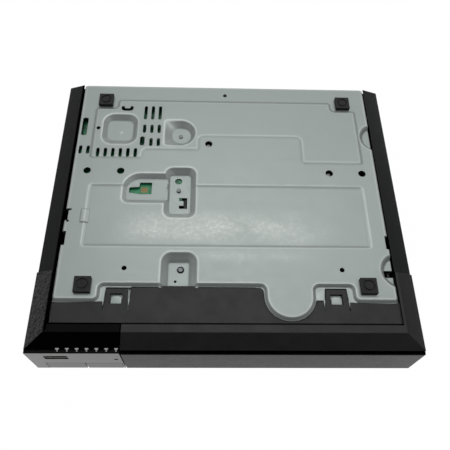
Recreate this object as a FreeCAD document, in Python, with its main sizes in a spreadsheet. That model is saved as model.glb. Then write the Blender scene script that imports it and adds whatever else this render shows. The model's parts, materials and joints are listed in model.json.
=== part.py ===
"""A compact disc player: casing, boards and tray-loading disc drive, as separate pieces in one frame.

Lengths are millimetres. X runs to the right seen from the front, Y runs from the front (0) to the back and Z up
from the surface that the feet stand on. Every Y is moved back by half the depth, so that the origin lies
under the middle of the player.
"""
import FreeCAD, Part
import math
import os
import Sketcher
from FreeCAD import Placement, Rotation, Vector

# Driving dimensions
SIZES = {
    # The whole player
    "overall_width": 230,
    "overall_depth": 199,
    "overall_height": 39,
    "sheet_steel": 0.8,
    "plastic_wall": 2.0,
    "fit_gap": 0.3,
    # Feet
    "foot_height": 2.5,
    "foot_side": 10,
    "foot_corner": 0.3,
    "foot_reach": 85.5,
    "foot_front": 39.6,
    "foot_back": 183.2,
    "foot_pip_radius": 2.6,
    "foot_pip_depth": 0.6,
    "foot_ring": 1.0,
    "foot_plug": 1.6,
    # Lower chamfer that runs round the front and the sides
    "chamfer_drop": 4,
    "front_facet": 9.4,
    "side_facet": 10.2,
    "rail_reach": 11.6,
    "plate_gap": 0.9,
    "back_lip": 0.4,
    "panel_inset": 2.4,
    "band_width": 4.6,
    "cover_step": 0.7,
    "cover_bevel": 2,
    # Front pieces
    "front_setback": 1.7,
    "door_gap": 1.1,
    "bay_step": 0.5,
    "door_depth": 5.4,
    "door_clearance": 0.8,
    "split_reach": 60.6,
    "split_gap": 0.7,
    "gloss_wall": 2.2,
    "wing_back": 49.5,
    "lip_thickness": 1.8,
    "lip_rail_gap": 0.9,
    "lip_gap": 1.4,
    "trim_tab": 3.4,
    "lip_back": 40.2,
    "lip_ear_back": 30,
    "lip_flank_back": 30.9,
    "top_strip_back": 20,
    "top_step": 0.4,
    "cheek_step": 2.5,
    "ledge_width": 6,
    "wing_floor": 1.4,
    # Hook tabs of the lip
    "tab_left": -65.9,
    "tab_right": 65.3,
    "tab_base_half": 7.1,
    "tab_end_half": 6.3,
    "tab_front": 25,
    "tab_back": 38.3,
    "tab_slit": 0.5,
    "tab_slit_spread": 1.6,
    "tab_window_half": 3.6,
    "tab_window_front": 28.9,
    "tab_window_back": 35.2,
    "hook_rise": 1.3,
    "hook_inset": 1.2,
    "groove_floor": 0.6,
    # Bottom plate
    "plate_front": 41.8,
    "plate_ear_front": 31.8,
    "plate_ear_right": 77,
    "plate_ear_left": -78,
    "plate_corner": 2.5,
    "border_drop": 1.6,
    "border_angle": 53,
    "border_inset": 0.4,
    "side_flange_height": 9,
    "tongue_centre": -38.1,
    "tongue_radius": 13.4,
    "tongue_front": 20.7,
    "tongue_fillet": 3,
    "tongue_flat": 0.2,
    "panel_step": 0.4,
    "panel_slope": 60,
    "emboss_slope": 50,
    "emboss_depth": 3.5,
    "lobe_depth": 2.3,
    "dimple_depth": 2.0,
    "seat_depth": 4.5,
    "big_hole_radius": 2.5,
    "small_hole_radius": 1.4,
    "slot_width": 1.9,
    "slot_end": 0.9,
    "slot_pitch": 5.1,
    "block_x_low": 19.4,
    "block_x_high": 41.4,
    "block_y_low": 87,
    "block_y_high": 126.2,
    "lobe_x_low": 30,
    "lobe_x_high": 68.4,
    "lobe_y_low": 97.4,
    "lobe_y_high": 121,
    "dimple_x_low": 61.4,
    "dimple_x_high": 86,
    "dimple_y_low": 144.2,
    "dimple_y_high": 171.2,
    "rest_x_low": 20.6,
    "rest_x_high": 42.4,
    "rest_y_low": 144,
    "rest_y_high": 165.8,
    "front_seat_x_low": 16.6,
    "front_seat_x_high": 40.8,
    "front_seat_y_low": 33,
    "front_seat_y_high": 62.4,
    "block_corner": 5.2,
    "lobe_corner": 9,
    "dimple_corner": 5.5,
    "rest_corner": 10.4,
    "rest_side_corner": 3,
    "seat_corner": 7,
    "side_seat_x": 106.6,
    "side_seat_radius": 11,
    "back_side_seat_y": 154.5,
    "front_side_seat_y": 52,
    "raised_x_low": -92.6,
    "raised_x_high": 92.6,
    "raised_y_low": 130.6,
    "raised_y_high": 184.8,
    "raised_notch_x": 77.2,
    "raised_notch_y": 177.2,
    "raised_right_front": 133,
    "raised_step_x": 56.2,
    "raised_step_y": 140.2,
    "raised_rest_x": 17.6,
    "raised_middle_front": 152.2,
    "raised_left_x": -51.8,
    "panel_corner": 2.2,
    "sunk_x_low": -89.2,
    "sunk_x_high": 89.2,
    "sunk_y_low": 67,
    "sunk_y_high": 111.2,
    "left_notch_x_low": -103,
    "left_notch_x_high": -100.9,
    "left_notch_y_low": 65,
    "left_notch_y_high": 73,
    "right_notch_x_low": 100.4,
    "right_notch_x_high": 103,
    "right_notch_y_low": 83,
    "right_notch_y_high": 92.6,
    "seat_opening_x_low": -102,
    "seat_opening_x_high": -97.4,
    "seat_opening_y_low": 46.6,
    "seat_opening_y_high": 51,
    "board_window_x_low": 49,
    "board_window_x_high": 63,
    "board_window_y_low": 105.4,
    "board_window_y_high": 114,
    "half_hole_x_low": 29.1,
    "half_hole_x_high": 33.9,
    "half_hole_y_low": 114.4,
    "half_hole_y_high": 118.7,
    "half_hole_corner": 2.1,
    "window_step_x": 56.8,
    "window_step_y": 109.6,
    "claw_x_low": 25.3,
    "claw_x_high": 30.5,
    "claw_y_low": 95.2,
    "claw_y_high": 103.2,
    "claw_tongue": 1.7,
    "crescent_x_low": 66.2,
    "crescent_x_high": 74.1,
    "crescent_y_low": 174.2,
    "crescent_y_high": 178.1,
    "crescent_tongue": 1.4,
    "long_slot_x_low": 96.6,
    "long_slot_x_high": 100.4,
    "long_slot_y_low": 152.1,
    "long_slot_y_high": 167.6,
    "long_slot_corner": 1.2,
    "vent_x": 46.4,
    "vent_back": 178.6,
    "vent_back_length": 12.2,
    "vent_middle": 161.7,
    "vent_middle_length": 7.3,
    "vent_front": 149.8,
    "vent_front_length": 6.8,
    "vent_row_x": 61.6,
    "vent_row_back": 140.9,
    "vent_row_length": 7.3,
    "vent_side_x": 94.1,
    "vent_side_back": 143,
    "vent_columns": 3,
    "vent_front_slots": 2,
    "wide_slot_x_low": 56,
    "wide_slot_x_high": 59.1,
    "wide_slot_y_low": 143.4,
    "wide_slot_y_high": 151.1,
    "wide_slot_corner": 1.3,
    "vent_row_slots": 6,
    "vent_side_slots": 2,
    "big_holes_y": 122.4,
    "big_hole_far": 92.6,
    "big_hole_near": 70.3,
    "middle_hole_x": 11.5,
    "middle_hole_y": 145.8,
    "front_hole_x": 66.5,
    "front_hole_y": 50.8,
    "back_hole_y": 190.2,
    "side_hole_x": 88.8,
    "side_hole_y": 158.2,
    # Main board
    "board_thickness": 1.6,
    "chip_x": 74,
    "chip_y": 157,
    "chip_half": 8,
    "chip_height": 1.4,
    "sink_half": 14,
    "sink_plate": 1.6,
    "sink_height": 7,
    "fin_thickness": 1,
    "fin_count": 9,
    "can_near_x": 36,
    "can_front_y": 128,
    "can_far_x": 93,
    "can_back_y": 132,
    "can_pitch": 10,
    "can_radius": 3.4,
    "can_height": 10,
    "ribbon_x": 78,
    "ribbon_half": 6,
    "ribbon_rise": 1,
    "ribbon_thickness": 0.3,
    "ribbon_plug_side": 1,
    "ribbon_plug_depth": 4,
    "ribbon_plug_wall": 1,
    "ribbon_plug_height": 2.4,
    "drive_ribbon_y": 176.5,
    "drive_plug_x": 4,
    "drive_plug_far": 13,
    "board_drive_gap": 1.4,
    "board_back_gap": 1.4,
    "board_outer": 100.6,
    "board_front": 102,
    "post_x": 95,
    "post_front": 109,
    "post_inset": 11.4,
    "post_radius": 3,
    "screw_shank": 1.4,
    "screw_head": 2.4,
    "screw_head_height": 1.4,
    "small_shank": 1.1,
    "small_head": 2,
    "boss_radius": 2.4,
    "boss_bore": 6,
    "screw_grip": 2,
    "screw_tip": 0.6,
    "emboss_screw_x": 31.1,
    "block_screw_y": 109,
    "rest_screw_y": 153.8,
    # Disc drive
    "drive_centre": -37,
    "disc_centre": 80,
    "base_bottom": 7.8,
    "base_wall": 1.6,
    "base_front": 10.2,
    "base_top": 27,
    "deck_top": 15,
    "deck_thickness": 1.4,
    "guide_width": 2.4,
    "hold_overlap": 1.2,
    "hold_length": 4,
    "rest_foot_y": 155,
    "rest_foot_half": 4,
    "front_side_foot_y": 54,
    "back_side_foot_y": 155,
    "side_foot_half": 2,
    "ear_x": 28.1,
    "ear_y": 51.9,
    "ear_radius": 5,
    "ear_thickness": 2,
    # Tray
    "tray_margin": 1.4,
    "tray_side_gap": 0.8,
    "tray_bottom": 18.6,
    "tray_slot_gap": 1.9,
    "upstand_top": 28.6,
    "neck_inset": 4,
    "tray_floor": 1.2,
    "rack_height": 2.2,
    "tray_top": 24.2,
    "tray_travel": 142,
    "rack_end": 6.6,
    "disc_radius": 60.7,
    "disc_level": 21.6,
    "small_disc_radius": 40.8,
    "small_disc_level": 20.6,
    "tray_slot_half": 23,
    "tray_slot_front": 17,
    # Gears
    "gear_module": 1,
    "tip_share": 0.09,
    "root_share": 0.27,
    "tip_height": 0.8,
    "root_depth": 1.15,
    "loading_teeth": 30,
    "pinion_teeth": 12,
    "rack_line": 18.2,
    "rack_back_width": 2,
    "gear_y": 28.4,
    "mesh_angle": 192,
    "pulley_radius": 10,
    "pulley_rim": 0.3,
    "groove_depth": 1.0,
    "pulley_gap": 0.2,
    "pulley_height": 1.3,
    "gear_post": 2,
    "pulley_post": 1.5,
    "motor_shaft": 0.9,
    "gear_overlap": 1.8,
    "belt_thickness": 0.7,
    "running_gap": 0.1,
    "motor_pulley_radius": 3,
    "motor_x": -46,
    "motor_y": 25,
    "motor_radius": 10,
    "motor_bottom": 6.3,
    "loader_board_x": -34,
    "loader_board_length": 38,
    "loader_board_gap": 4,
    "loader_board_back": 6,
    # Cam slider and traverse
    "slider_front": 42.2,
    "slider_back": 46.2,
    "slider_bottom": 6.4,
    "slider_half_length": 30,
    "slider_flange": 5.2,
    "slider_travel": 18,
    "pin_height": 13,
    "pin_drop": 4.5,
    "pin_radius": 1.2,
    "pin_gap": 0.35,
    "traverse_half_width": 42,
    "traverse_front": 47.6,
    "traverse_back": 171.8,
    "traverse_bottom": 9.7,
    "traverse_top": 11.5,
    "pivot_y": 170,
    "pivot_z": 11.5,
    "pivot_radius": 1.6,
    "bush_radius": 3.4,
    "bush_side_gap": 1,
    "bush_width": 4,
    "lug_width": 4,
    # Spindle and clamper
    "spindle_base_radius": 14,
    "spindle_base_height": 1.5,
    "spindle_shaft": 1.3,
    "turntable_thickness": 1.4,
    "hub_taper": 1,
    "rotor_radius": 12.4,
    "rotor_top": 20.4,
    "turntable_radius": 13.6,
    "seat_level": 23,
    "hub_radius": 7.4,
    "hub_top": 25.6,
    "clamper_bottom": 24.6,
    "clamper_radius": 15,
    "clamper_flange": 18.6,
    "clamper_flange_height": 1.2,
    "clamper_gap": 0.8,
    "bridge_bottom": 31,
    "bridge_half_depth": 24,
    "bridge_hole": 16,
    "bridge_screw_reach": 18,
    # Pickup
    "rod_spread": 24,
    "rod_radius": 1.5,
    "rod_level": 14.6,
    "rod_block": 4,
    "sled_motor_radius": 3.4,
    "sled_motor_length": 20,
    "rod_front": 90,
    "sled_front": 96.4,
    "sled_length": 24,
    "sled_half_width": 27.5,
    "sled_bottom": 12.1,
    "sled_top": 17.9,
    "sled_travel": 36,
    "screw_offset": 31.6,
    "lead_radius": 1.4,
    "lens_y": 104.4,
    "lens_radius": 2.6,
    "lens_holder_half": 4.4,
    "lens_room": 1.4,
    "holder_bottom": 15.4,
    "lens_seat": 1,
    "lens_dome": 0.6,
    "wire_length": 2.2,
    "wire_radius": 0.25,
    "nut_half": 3,
    # Front board and keys
    "front_board_front": 13,
    "front_board_back": 14.4,
    "front_board_bottom": 8.4,
    "front_board_gap": 2.4,
    "front_screw_x": 67,
    "front_screw_z": 13.5,
    "front_screw_far_x": 104.5,
    "front_screw_far_z": 24,
    "key_gap": 0.3,
    "key_split": 84,
    "key_split_gap": 0.8,
    "key_height": 11.1,
    "key_side": 7.6,
    "key_stem_rise": 4,
    "key_stem_half": 2,
    "key_travel": 0.3,
    "key_stem_back": 8.9,
    "plunger_radius": 1.6,
    "plunger_depth": 1.2,
    "switch_half": 3,
    "switch_front": 9.6,
    "usb_centre": 98.5,
    "usb_level": 15.4,
    "usb_half_width": 6.5,
    "usb_half_height": 2.9,
    "usb_wall": 0.3,
    "usb_front": 0.6,
    "usb_back": 1,
    "usb_tongue_gap": 0.7,
    "usb_tongue_side": 0.6,
    "usb_tongue_thickness": 1.8,
    "light_x": 64.4,
    "light_z": 19,
    "light_radius": 1.1,
    "light_front": 0.4,
    "eye_front": 9,
    "eye_half": 3,
    "eye_dome": 2.4,
    # Back
    "jack_gap": 0.4,
    "jack_reach": 1.0,
    "jack_length": 12.6,
    "socket_wall": 0.5,
    "dc_jack_x": 85.5,
    "dc_jack_half": 4.5,
    "dc_jack_height": 11,
    "dc_depth": 9,
    "dc_radius": 2.8,
    "dc_pin_radius": 1,
    "hdmi_jack_x": 69,
    "hdmi_jack_half": 7.5,
    "hdmi_jack_height": 6,
    "hdmi_depth": 8,
    "lan_jack_x": 50,
    "lan_jack_half": 8,
    "lan_jack_height": 13.5,
    "lan_half": 5.9,
    "lan_half_height": 4.1,
    "lan_depth": 10.5,
    "lan_key_half": 3,
    "lan_key": 1.6,
    "coax_jack_x": 34.5,
    "coax_jack_half": 4.5,
    "coax_jack_height": 11,
    "coax_radius": 4.1,
    "coax_collar": 1.2,
    "coax_bore": 1.7,
    "coax_depth": 9,
    "back_screw_reach": 88,
    "back_tab_drop": 8.6,
    "panel_flange": 7.8,
    "panel_vents": 12,
    "panel_vent_x": -80,
    "panel_vent_low": 14,
    "panel_vent_high": 28,
    "back_tab_half": 6,
    "screw_length": 6,
}


doc = FreeCAD.newDocument("disc_player")
sheet = doc.addObject("Spreadsheet::Sheet", "Sizes")
nodes = []


class Term:
    """A length that knows its number and how it is worked out from the sheet's cells."""

    def __init__(self, number, text):
        self.number = number
        self.text = text

    def combine(self, other, sign, number):
        return Term(number, "(%s %s %s)" % (self.text, sign, other.text))

    def __add__(self, other):
        other = term(other)
        return self.combine(other, "+", self.number + other.number)

    def __sub__(self, other):
        other = term(other)
        return self.combine(other, "-", self.number - other.number)

    def __mul__(self, other):
        other = term(other)
        return self.combine(other, "*", self.number * other.number)

    def __truediv__(self, other):
        other = term(other)
        return self.combine(other, "/", self.number / other.number)

    def __radd__(self, other):
        return term(other) + self

    def __rsub__(self, other):
        return term(other) - self

    def __rmul__(self, other):
        return term(other) * self

    def __neg__(self):
        return Term(-self.number, "(-1 * %s)" % self.text)

    def count(self):
        """The nearest whole number."""
        return int(round(self.number))


class Sizes:
    """Gives each cell of the sheet as a Term, by its alias."""

    def __getattr__(self, name):
        return Term(float(sheet.get(name)), "Sizes." + name)


s = Sizes()


def term(value):
    """A Term as it is, or a plain number as a Term."""
    if isinstance(value, Term):
        return value
    return Term(value, repr(value))


def fill_sheet():
    """Writes each driving dimension to the sheet as text, with its alias."""
    for row, (name, value) in enumerate(SIZES.items(), start=1):
        sheet.set("A%d" % row, name)
        sheet.set("B%d" % row, str(value))
        sheet.setAlias("B%d" % row, name)
    doc.recompute()


# Building blocks, all bound to the sheet


def drive(obj, prop, length):
    """Binds one property of an object to a Term."""
    obj.setExpression(prop, term(length).text)


def place(obj, x=0, y=0, z=0):
    """Puts an object at a place measured from the front of the player."""
    drive(obj, "Placement.Base.x", x)
    drive(obj, "Placement.Base.y", term(y) - s.overall_depth / 2)
    drive(obj, "Placement.Base.z", z)
    return obj


def block(x, y, z):
    """A box between two places on each axis."""
    box = doc.addObject("Part::Box", "Block")
    for prop, (low, high) in (("Length", x), ("Width", y), ("Height", z)):
        drive(box, prop, term(high) - low)
    return place(box, x[0], y[0], z[0])


TURNS = {
    "x": Rotation(Vector(0, 1, 0), 90),
    "y": Rotation(Vector(1, 0, 0), -90),
    "z": Rotation(),
}


def on_axis(axis, centre, low):
    """The place of something that starts at low and runs along an axis through centre."""
    first, second = centre
    if axis == "x":
        return low, first, second
    if axis == "y":
        return first, low, second
    return first, second, low


def rod(axis, centre, span, radius):
    """A round bar along an axis; centre holds the other two coordinates in order."""
    bar = doc.addObject("Part::Cylinder", "Rod")
    drive(bar, "Radius", radius)
    drive(bar, "Height", term(span[1]) - span[0])
    bar.Placement = Placement(Vector(), TURNS[axis])
    return place(bar, *on_axis(axis, centre, span[0]))


def cone(centre, span, low_radius, high_radius):
    """An upright cone between two heights."""
    body = doc.addObject("Part::Cone", "Cone")
    drive(body, "Radius1", low_radius)
    drive(body, "Radius2", high_radius)
    drive(body, "Height", term(span[1]) - span[0])
    return place(body, centre[0], centre[1], span[0])


def fuse(*shapes):
    """One solid from several that touch."""
    joined = doc.addObject("Part::MultiFuse", "Joined")
    joined.Shapes = list(shapes)
    joined.Refine = True
    return joined


def group(*shapes):
    """Separate solids kept together in one sub-part."""
    held = doc.addObject("Part::Compound", "Held")
    held.Links = list(shapes)
    return held


def cut(base, *tools):
    """The base with every tool taken out of it."""
    tool = tools[0]
    if len(tools) > 1:
        tool = doc.addObject("Part::MultiFuse", "Tools")
        tool.Shapes = list(tools)
    left = doc.addObject("Part::Cut", "Left")
    left.Base = base
    left.Tool = tool
    left.Refine = True
    return left


def ring(axis, centre, span, outer, inner):
    """A round bar with a bore."""
    return cut(rod(axis, centre, span, outer), rod(axis, centre, span, inner))


def towards(corner, other):
    """The level direction from one corner to the next, along X or along Y."""
    across = other[0].number - corner[0].number
    along = other[1].number - corner[1].number
    if abs(across) > abs(along):
        return (1 if across > 0 else -1, 0)
    return (0, 1 if along > 0 else -1)


def vector(point):
    """A sketch point as a vector of numbers."""
    return Vector(point[0].number, point[1].number, 0)


class Outline:
    """Gathers one sketch's lines, arcs and constraints, with the Terms that drive them."""

    def __init__(self):
        self.pieces = []
        self.rules = []
        self.lengths = []

    def add(self, piece):
        self.pieces.append(piece)
        return len(self.pieces) - 1

    def measure(self, kind, length, *where):
        """Adds a constraint with a length and keeps the Term that drives it."""
        self.lengths.append((len(self.rules), length))
        self.rules.append(Sketcher.Constraint(kind, *where, length.number))

    def bind(self, piece, end, point):
        """Ties one end of a line, or the middle of a circle, to a pair of Terms."""
        self.measure("DistanceX", point[0], piece, end)
        self.measure("DistanceY", point[1], piece, end)

    def join(self, piece, end, other, other_end):
        self.rules.append(Sketcher.Constraint("Coincident", piece, end, other, other_end))

    def circle(self, x, y, radius):
        x, y, radius = term(x), term(y), term(radius)
        index = self.add(Part.Circle(vector((x, y)), Vector(0, 0, 1), radius.number))
        self.bind(index, 3, (x, y))
        self.measure("Radius", radius, index)

    def arc(self, start, end, middle, radius, turns_left, line_before, line_after):
        """Adds a rounded corner between two lines."""
        low, high = (start, end) if turns_left else (end, start)
        centre = vector(middle)
        spokes = [vector(point) - centre for point in (low, high)]
        angles = [math.atan2(spoke.y, spoke.x) for spoke in spokes]
        if angles[1] < angles[0]:
            angles[1] += 2 * math.pi
        circle = Part.Circle(centre, Vector(0, 0, 1), radius.number)
        index = self.add(Part.ArcOfCircle(circle, *angles))
        first, second = (1, 2) if turns_left else (2, 1)
        self.join(line_before, 2, index, first)
        self.join(line_after, 1, index, second)
        self.measure("Radius", radius, index)

    def loop(self, corners):
        """Adds a closed outline; a corner is x, y and, where square to both sides, a radius."""
        corners = [[term(value) for value in corner] for corner in corners]
        count = len(corners)
        ends = []
        arcs = []
        for index, corner in enumerate(corners):
            if len(corner) == 2:
                ends.append((corner, corner))
                continue
            x, y, radius = corner
            back = towards(corner, corners[index - 1])
            ahead = towards(corner, corners[(index + 1) % count])
            start = (x + back[0] * radius, y + back[1] * radius)
            end = (x + ahead[0] * radius, y + ahead[1] * radius)
            middle = (start[0] + ahead[0] * radius, start[1] + ahead[1] * radius)
            turns_left = back[1] * ahead[0] - back[0] * ahead[1] > 0
            ends.append((start, end))
            arcs.append((index, start, end, middle, radius, turns_left))
        first = len(self.pieces)
        for index in range(count):
            start = ends[index][1]
            end = ends[(index + 1) % count][0]
            self.add(Part.LineSegment(vector(start), vector(end)))
        for index in range(count):
            before = first + (index - 1) % count
            self.bind(first + index, 1, ends[index][1])
            if len(corners[index]) == 2:
                self.join(before, 2, first + index, 1)
            else:
                self.bind(before, 2, ends[index][0])
        for index, *arc in arcs:
            self.arc(*arc, first + (index - 1) % count, first + index)

    def sketch(self):
        """Draws what was gathered in a new sketch."""
        drawn = doc.addObject("Sketcher::SketchObject", "Outline")
        drawn.addGeometry(self.pieces, False)
        drawn.addConstraint(self.rules)
        for index, length in self.lengths:
            drive(drawn, "Constraints[%d]" % index, length)
        return drawn


def draw(outlines):
    """A sketch of outlines, each a list of corners or a circle's x, y and radius."""
    outline = Outline()
    for shape in outlines:
        if isinstance(shape, tuple):
            outline.circle(*shape)
        else:
            outline.loop(shape)
    return outline.sketch()


SKETCH_TURNS = {
    "x": Rotation(Vector(1, 1, 1), 120),
    "y": Rotation(Vector(1, 0, 0), 90),
    "z": Rotation(),
}


def extrusion(sketch, length, taper=0):
    """A solid from a sketch; a positive taper widens it away from the sketch."""
    solid = doc.addObject("Part::Extrusion", "Prism")
    solid.Base = sketch
    solid.DirMode = "Normal"
    solid.Solid = True
    drive(solid, "LengthFwd", length)
    drive(solid, "TaperAngle", taper)
    return solid


def placed_sketch(axis, outlines, start):
    """A sketch square to an axis at a place along it."""
    sketch = draw(outlines)
    sketch.Placement = Placement(Vector(), SKETCH_TURNS[axis])
    return place(sketch, *on_axis(axis, (0, 0), start))


def prism(axis, corners, span):
    """A solid with the same outline all along an axis; its corners are the other two coordinates."""
    start = span[1] if axis == "y" else span[0]
    return extrusion(placed_sketch(axis, [corners], start), term(span[1]) - span[0])


def pressed(outlines, start, length, taper):
    """An outline pressed into the sheet: the solid in it, and the same one sheet higher."""
    sketch = placed_sketch("z", outlines, start)
    lower = extrusion(sketch, length, taper)
    upper = extrusion(sketch, length, taper)
    drive(upper, "Placement.Base.z", s.sheet_steel)
    return lower, upper


def rectangle(x, y, radius=None):
    """The corners of a rectangle, rounded where a radius is given."""
    round_off = () if radius is None else (radius,)
    return [
        (x[0], y[0]) + round_off,
        (x[1], y[0]) + round_off,
        (x[1], y[1]) + round_off,
        (x[0], y[1]) + round_off,
    ]


def rounded_block(x, y, z, radius):
    """A box with its upright edges rounded."""
    return prism("z", rectangle(x, y, radius), z)


def feature(shape, x=0, y=0, z=0):
    """A shape worked out in this script, put in its place."""
    made = doc.addObject("Part::Feature", "Shape")
    made.Shape = shape
    return place(made, x, y, z)


def span(centre, half):
    """From half below a centre to half above it."""
    return term(centre) - half, term(centre) + half


def sides(inner, outer):
    """The same stretch on the right and on the left of the middle."""
    return (term(inner), term(outer)), (-term(outer), -term(inner))


def node(label, obj):
    """Names a sub-part and keeps it for writing."""
    obj.Label = label
    nodes.append(obj)
    return obj


fill_sheet()

# Places that several pieces share
half_width = s.overall_width / 2
cover_half = half_width - s.cover_step
rail_inner = half_width - s.rail_reach
plate_half = rail_inner - s.plate_gap
lip_outer = rail_inner - s.lip_rail_gap
plate_back = s.overall_depth - s.back_lip
panel_outer = s.overall_depth - s.panel_inset
panel_inner = panel_outer - s.sheet_steel
board_back = panel_inner - s.board_back_gap
cover_inner = s.overall_height - s.sheet_steel
bezel_top = s.overall_height - s.top_step
strip_bottom = bezel_top - s.plastic_wall
cheek_top = bezel_top - s.cheek_step
plate_inner = s.foot_height + s.sheet_steel
chamfer_top = s.foot_height + s.chamfer_drop
rim_level = s.foot_height + s.border_drop
lip_top = rim_level + s.lip_thickness
wing_level = chamfer_top + s.wing_floor
bay_floor = chamfer_top + s.bay_step
bay_back = s.door_depth + s.door_clearance
bay_wall = bay_back + s.plastic_wall
facet_back = s.front_setback + s.front_facet
band_back = facet_back + s.band_width
facet_inner = half_width - s.side_facet
gloss_side = s.split_reach + s.split_gap
board_bottom = s.foot_height + s.emboss_depth + s.sheet_steel
board_top = board_bottom + s.board_thickness
drive_seat = s.foot_height + s.seat_depth + s.sheet_steel
side_seat_top = s.foot_height + s.dimple_depth + s.sheet_steel
rack_bottom = s.tray_bottom - s.rack_height
low = -s.plastic_wall
far = s.overall_depth + s.overall_width


def area(name):
    """The stretch along X and along Y of a named area."""
    x = getattr(s, name + "_x_low"), getattr(s, name + "_x_high")
    y = getattr(s, name + "_y_low"), getattr(s, name + "_y_high")
    return x, y


def grown(stretch, margin):
    """A stretch made longer at both ends."""
    return stretch[0] - margin, stretch[1] + margin


def tube(x, y, z, wall):
    """Four upleft walls."""
    inside = grown(x, -wall)
    return cut(block(x, y, z), block(inside, grown(y, -wall), grown(z, s.fit_gap)))


# Casing


def cover_section():
    """The top cover's section across the player: roof, walls and the returns under the sides."""
    rail_low = s.foot_height + s.cover_step
    wall_low = chamfer_top + s.fit_gap
    outside = [
        (rail_inner, rail_low),
        (cover_half, wall_low),
        (cover_half, s.overall_height - s.cover_bevel),
        (cover_half - s.cover_bevel, s.overall_height),
    ]
    inside = [
        (cover_half - s.cover_bevel, cover_inner),
        (cover_half - s.sheet_steel, s.overall_height - s.cover_bevel),
        (cover_half - s.sheet_steel, wall_low + s.sheet_steel),
        (rail_inner, rail_low + s.sheet_steel),
    ]

    def mirrored(corners):
        return [(-x, z) for x, z in reversed(corners)]

    return outside + mirrored(outside) + mirrored(inside) + inside


def top_cover():
    shell = prism("y", cover_section(), (s.top_strip_back + s.fit_gap, s.overall_depth))
    notches = []
    for x in sides(rail_inner - s.plate_gap, far):
        notches.append(block(x, (low, s.wing_back + s.fit_gap), (low, cheek_top + s.fit_gap)))
    tabs = []
    for x in back_screw_places():
        tab = block(span(x, s.back_tab_half), back_tab_depth(),
                    (cover_inner - s.back_tab_drop, cover_inner + s.fit_gap))
        tabs.append(cut(tab, rod("y", (x, back_screw_level()), back_tab_depth(), s.screw_shank)))
    node("top_cover", fuse(cut(shell, *notches), *tabs))


def back_screw_places():
    """Where the screws through the cover's back tabs stand."""
    return -s.back_screw_reach, term(0), s.back_screw_reach


def back_screw_level():
    return cover_inner - s.back_tab_drop / 2


def back_tab_depth():
    """The stretch along Y of the cover's back tabs, against the rear panel."""
    return panel_outer, panel_outer + s.sheet_steel


def rear_screws():
    outer = panel_outer + s.sheet_steel
    screws = []
    for x in back_screw_places():
        centre = (x, back_screw_level())
        shank = rod("y", centre, (outer - s.screw_length, outer), s.screw_shank)
        head = rod("y", centre, (outer, outer + s.screw_head_height), s.screw_head)
        screws.append(fuse(shank, head))
    node("rear_screws", group(*screws))


def panel_section(flank):
    """The rear panel's outline: narrow between the bottom plate's sides, wide inside the cover."""
    side = cover_half - s.sheet_steel - s.fit_gap
    step = s.foot_height + s.cover_step + s.sheet_steel + s.fit_gap * 2
    right = [
        (flank, plate_inner),
        (flank, step),
        (rail_inner, step),
        (side, chamfer_top + s.sheet_steel + s.fit_gap * 3),
        (side, s.overall_height - s.cover_bevel - s.fit_gap),
        (cover_half - s.cover_bevel, cover_inner),
    ]
    return right + [(-x, z) for x, z in reversed(right)]


def rear_panel():
    x = span(0, plate_half - s.sheet_steel - s.fit_gap)
    wall = prism("y", panel_section(x[1]), (panel_inner, panel_outer))
    foot = block(x, (panel_inner - s.panel_flange, panel_outer), (plate_inner, plate_inner + s.sheet_steel))
    head = block(x, (panel_inner - s.panel_flange, panel_outer), (cover_inner - s.sheet_steel, cover_inner))
    holes = [rod("y", (at, back_screw_level()), (panel_inner, panel_outer), s.screw_shank)
             for at in back_screw_places()]
    for name in JACKS:
        across, top = jack_size(name)
        holes.append(block(grown(across, s.jack_gap), (panel_inner, panel_outer),
                           (board_top - s.jack_gap, top + s.jack_gap)))
    for index in range(s.panel_vents.count()):
        slot = span(s.panel_vent_x + index * s.slot_pitch, s.slot_width / 2)
        holes.append(block(slot, (panel_inner, panel_outer), (s.panel_vent_low, s.panel_vent_high)))
    node("rear_panel", cut(fuse(wall, foot, head), *holes))


def plate_outline(inset):
    """The bottom plate's edge: straight sides, two ears at the front and a round tongue."""
    radius = s.tongue_radius - inset
    right_ear = s.plate_ear_right + inset
    left_ear = s.plate_ear_left - inset
    front = s.plate_front + inset
    ear_front = s.plate_ear_front + inset
    side = plate_half - inset
    tongue = s.tongue_centre - radius, s.tongue_centre + radius
    tongue_front = s.tongue_front + inset
    return [
        (side, plate_back),
        (-side, plate_back),
        (-side, ear_front),
        (left_ear, ear_front, s.plate_corner),
        (left_ear, front, s.plate_corner),
        (tongue[0], front, s.tongue_fillet),
        (tongue[0], tongue_front, radius - s.tongue_flat),
        (tongue[1], tongue_front, radius - s.tongue_flat),
        (tongue[1], front, s.tongue_fillet),
        (right_ear, front, s.plate_corner),
        (right_ear, ear_front, s.plate_corner),
        (side, ear_front),
    ]


def raised_outline():
    """The raised panel at the back, stepped round the feet and the vents."""
    x, y = area("raised")
    corners = [
        (s.raised_notch_x, y[1]),
        (-s.raised_notch_x, y[1]),
        (-s.raised_notch_x, s.raised_notch_y),
        (x[0], s.raised_notch_y),
        (x[0], y[0]),
        (s.raised_left_x, y[0]),
        (s.raised_left_x, s.raised_middle_front),
        (s.raised_rest_x, s.raised_middle_front),
        (s.raised_rest_x, s.raised_step_y),
        (s.raised_step_x, s.raised_step_y),
        (s.raised_step_x, s.raised_right_front),
        (x[1], s.raised_right_front),
        (x[1], s.raised_notch_y),
        (s.raised_notch_x, s.raised_notch_y),
    ]
    return [corner + (s.panel_corner,) for corner in corners]


def half_round(x, y, round_corner, side_corner):
    """A D-shaped outline: widely rounded at the low X, nearly square at the high X."""
    return [
        (x[1], y[1], side_corner), (x[0], y[1], round_corner),
        (x[0], y[0], round_corner), (x[1], y[0], side_corner),
    ]


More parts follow.
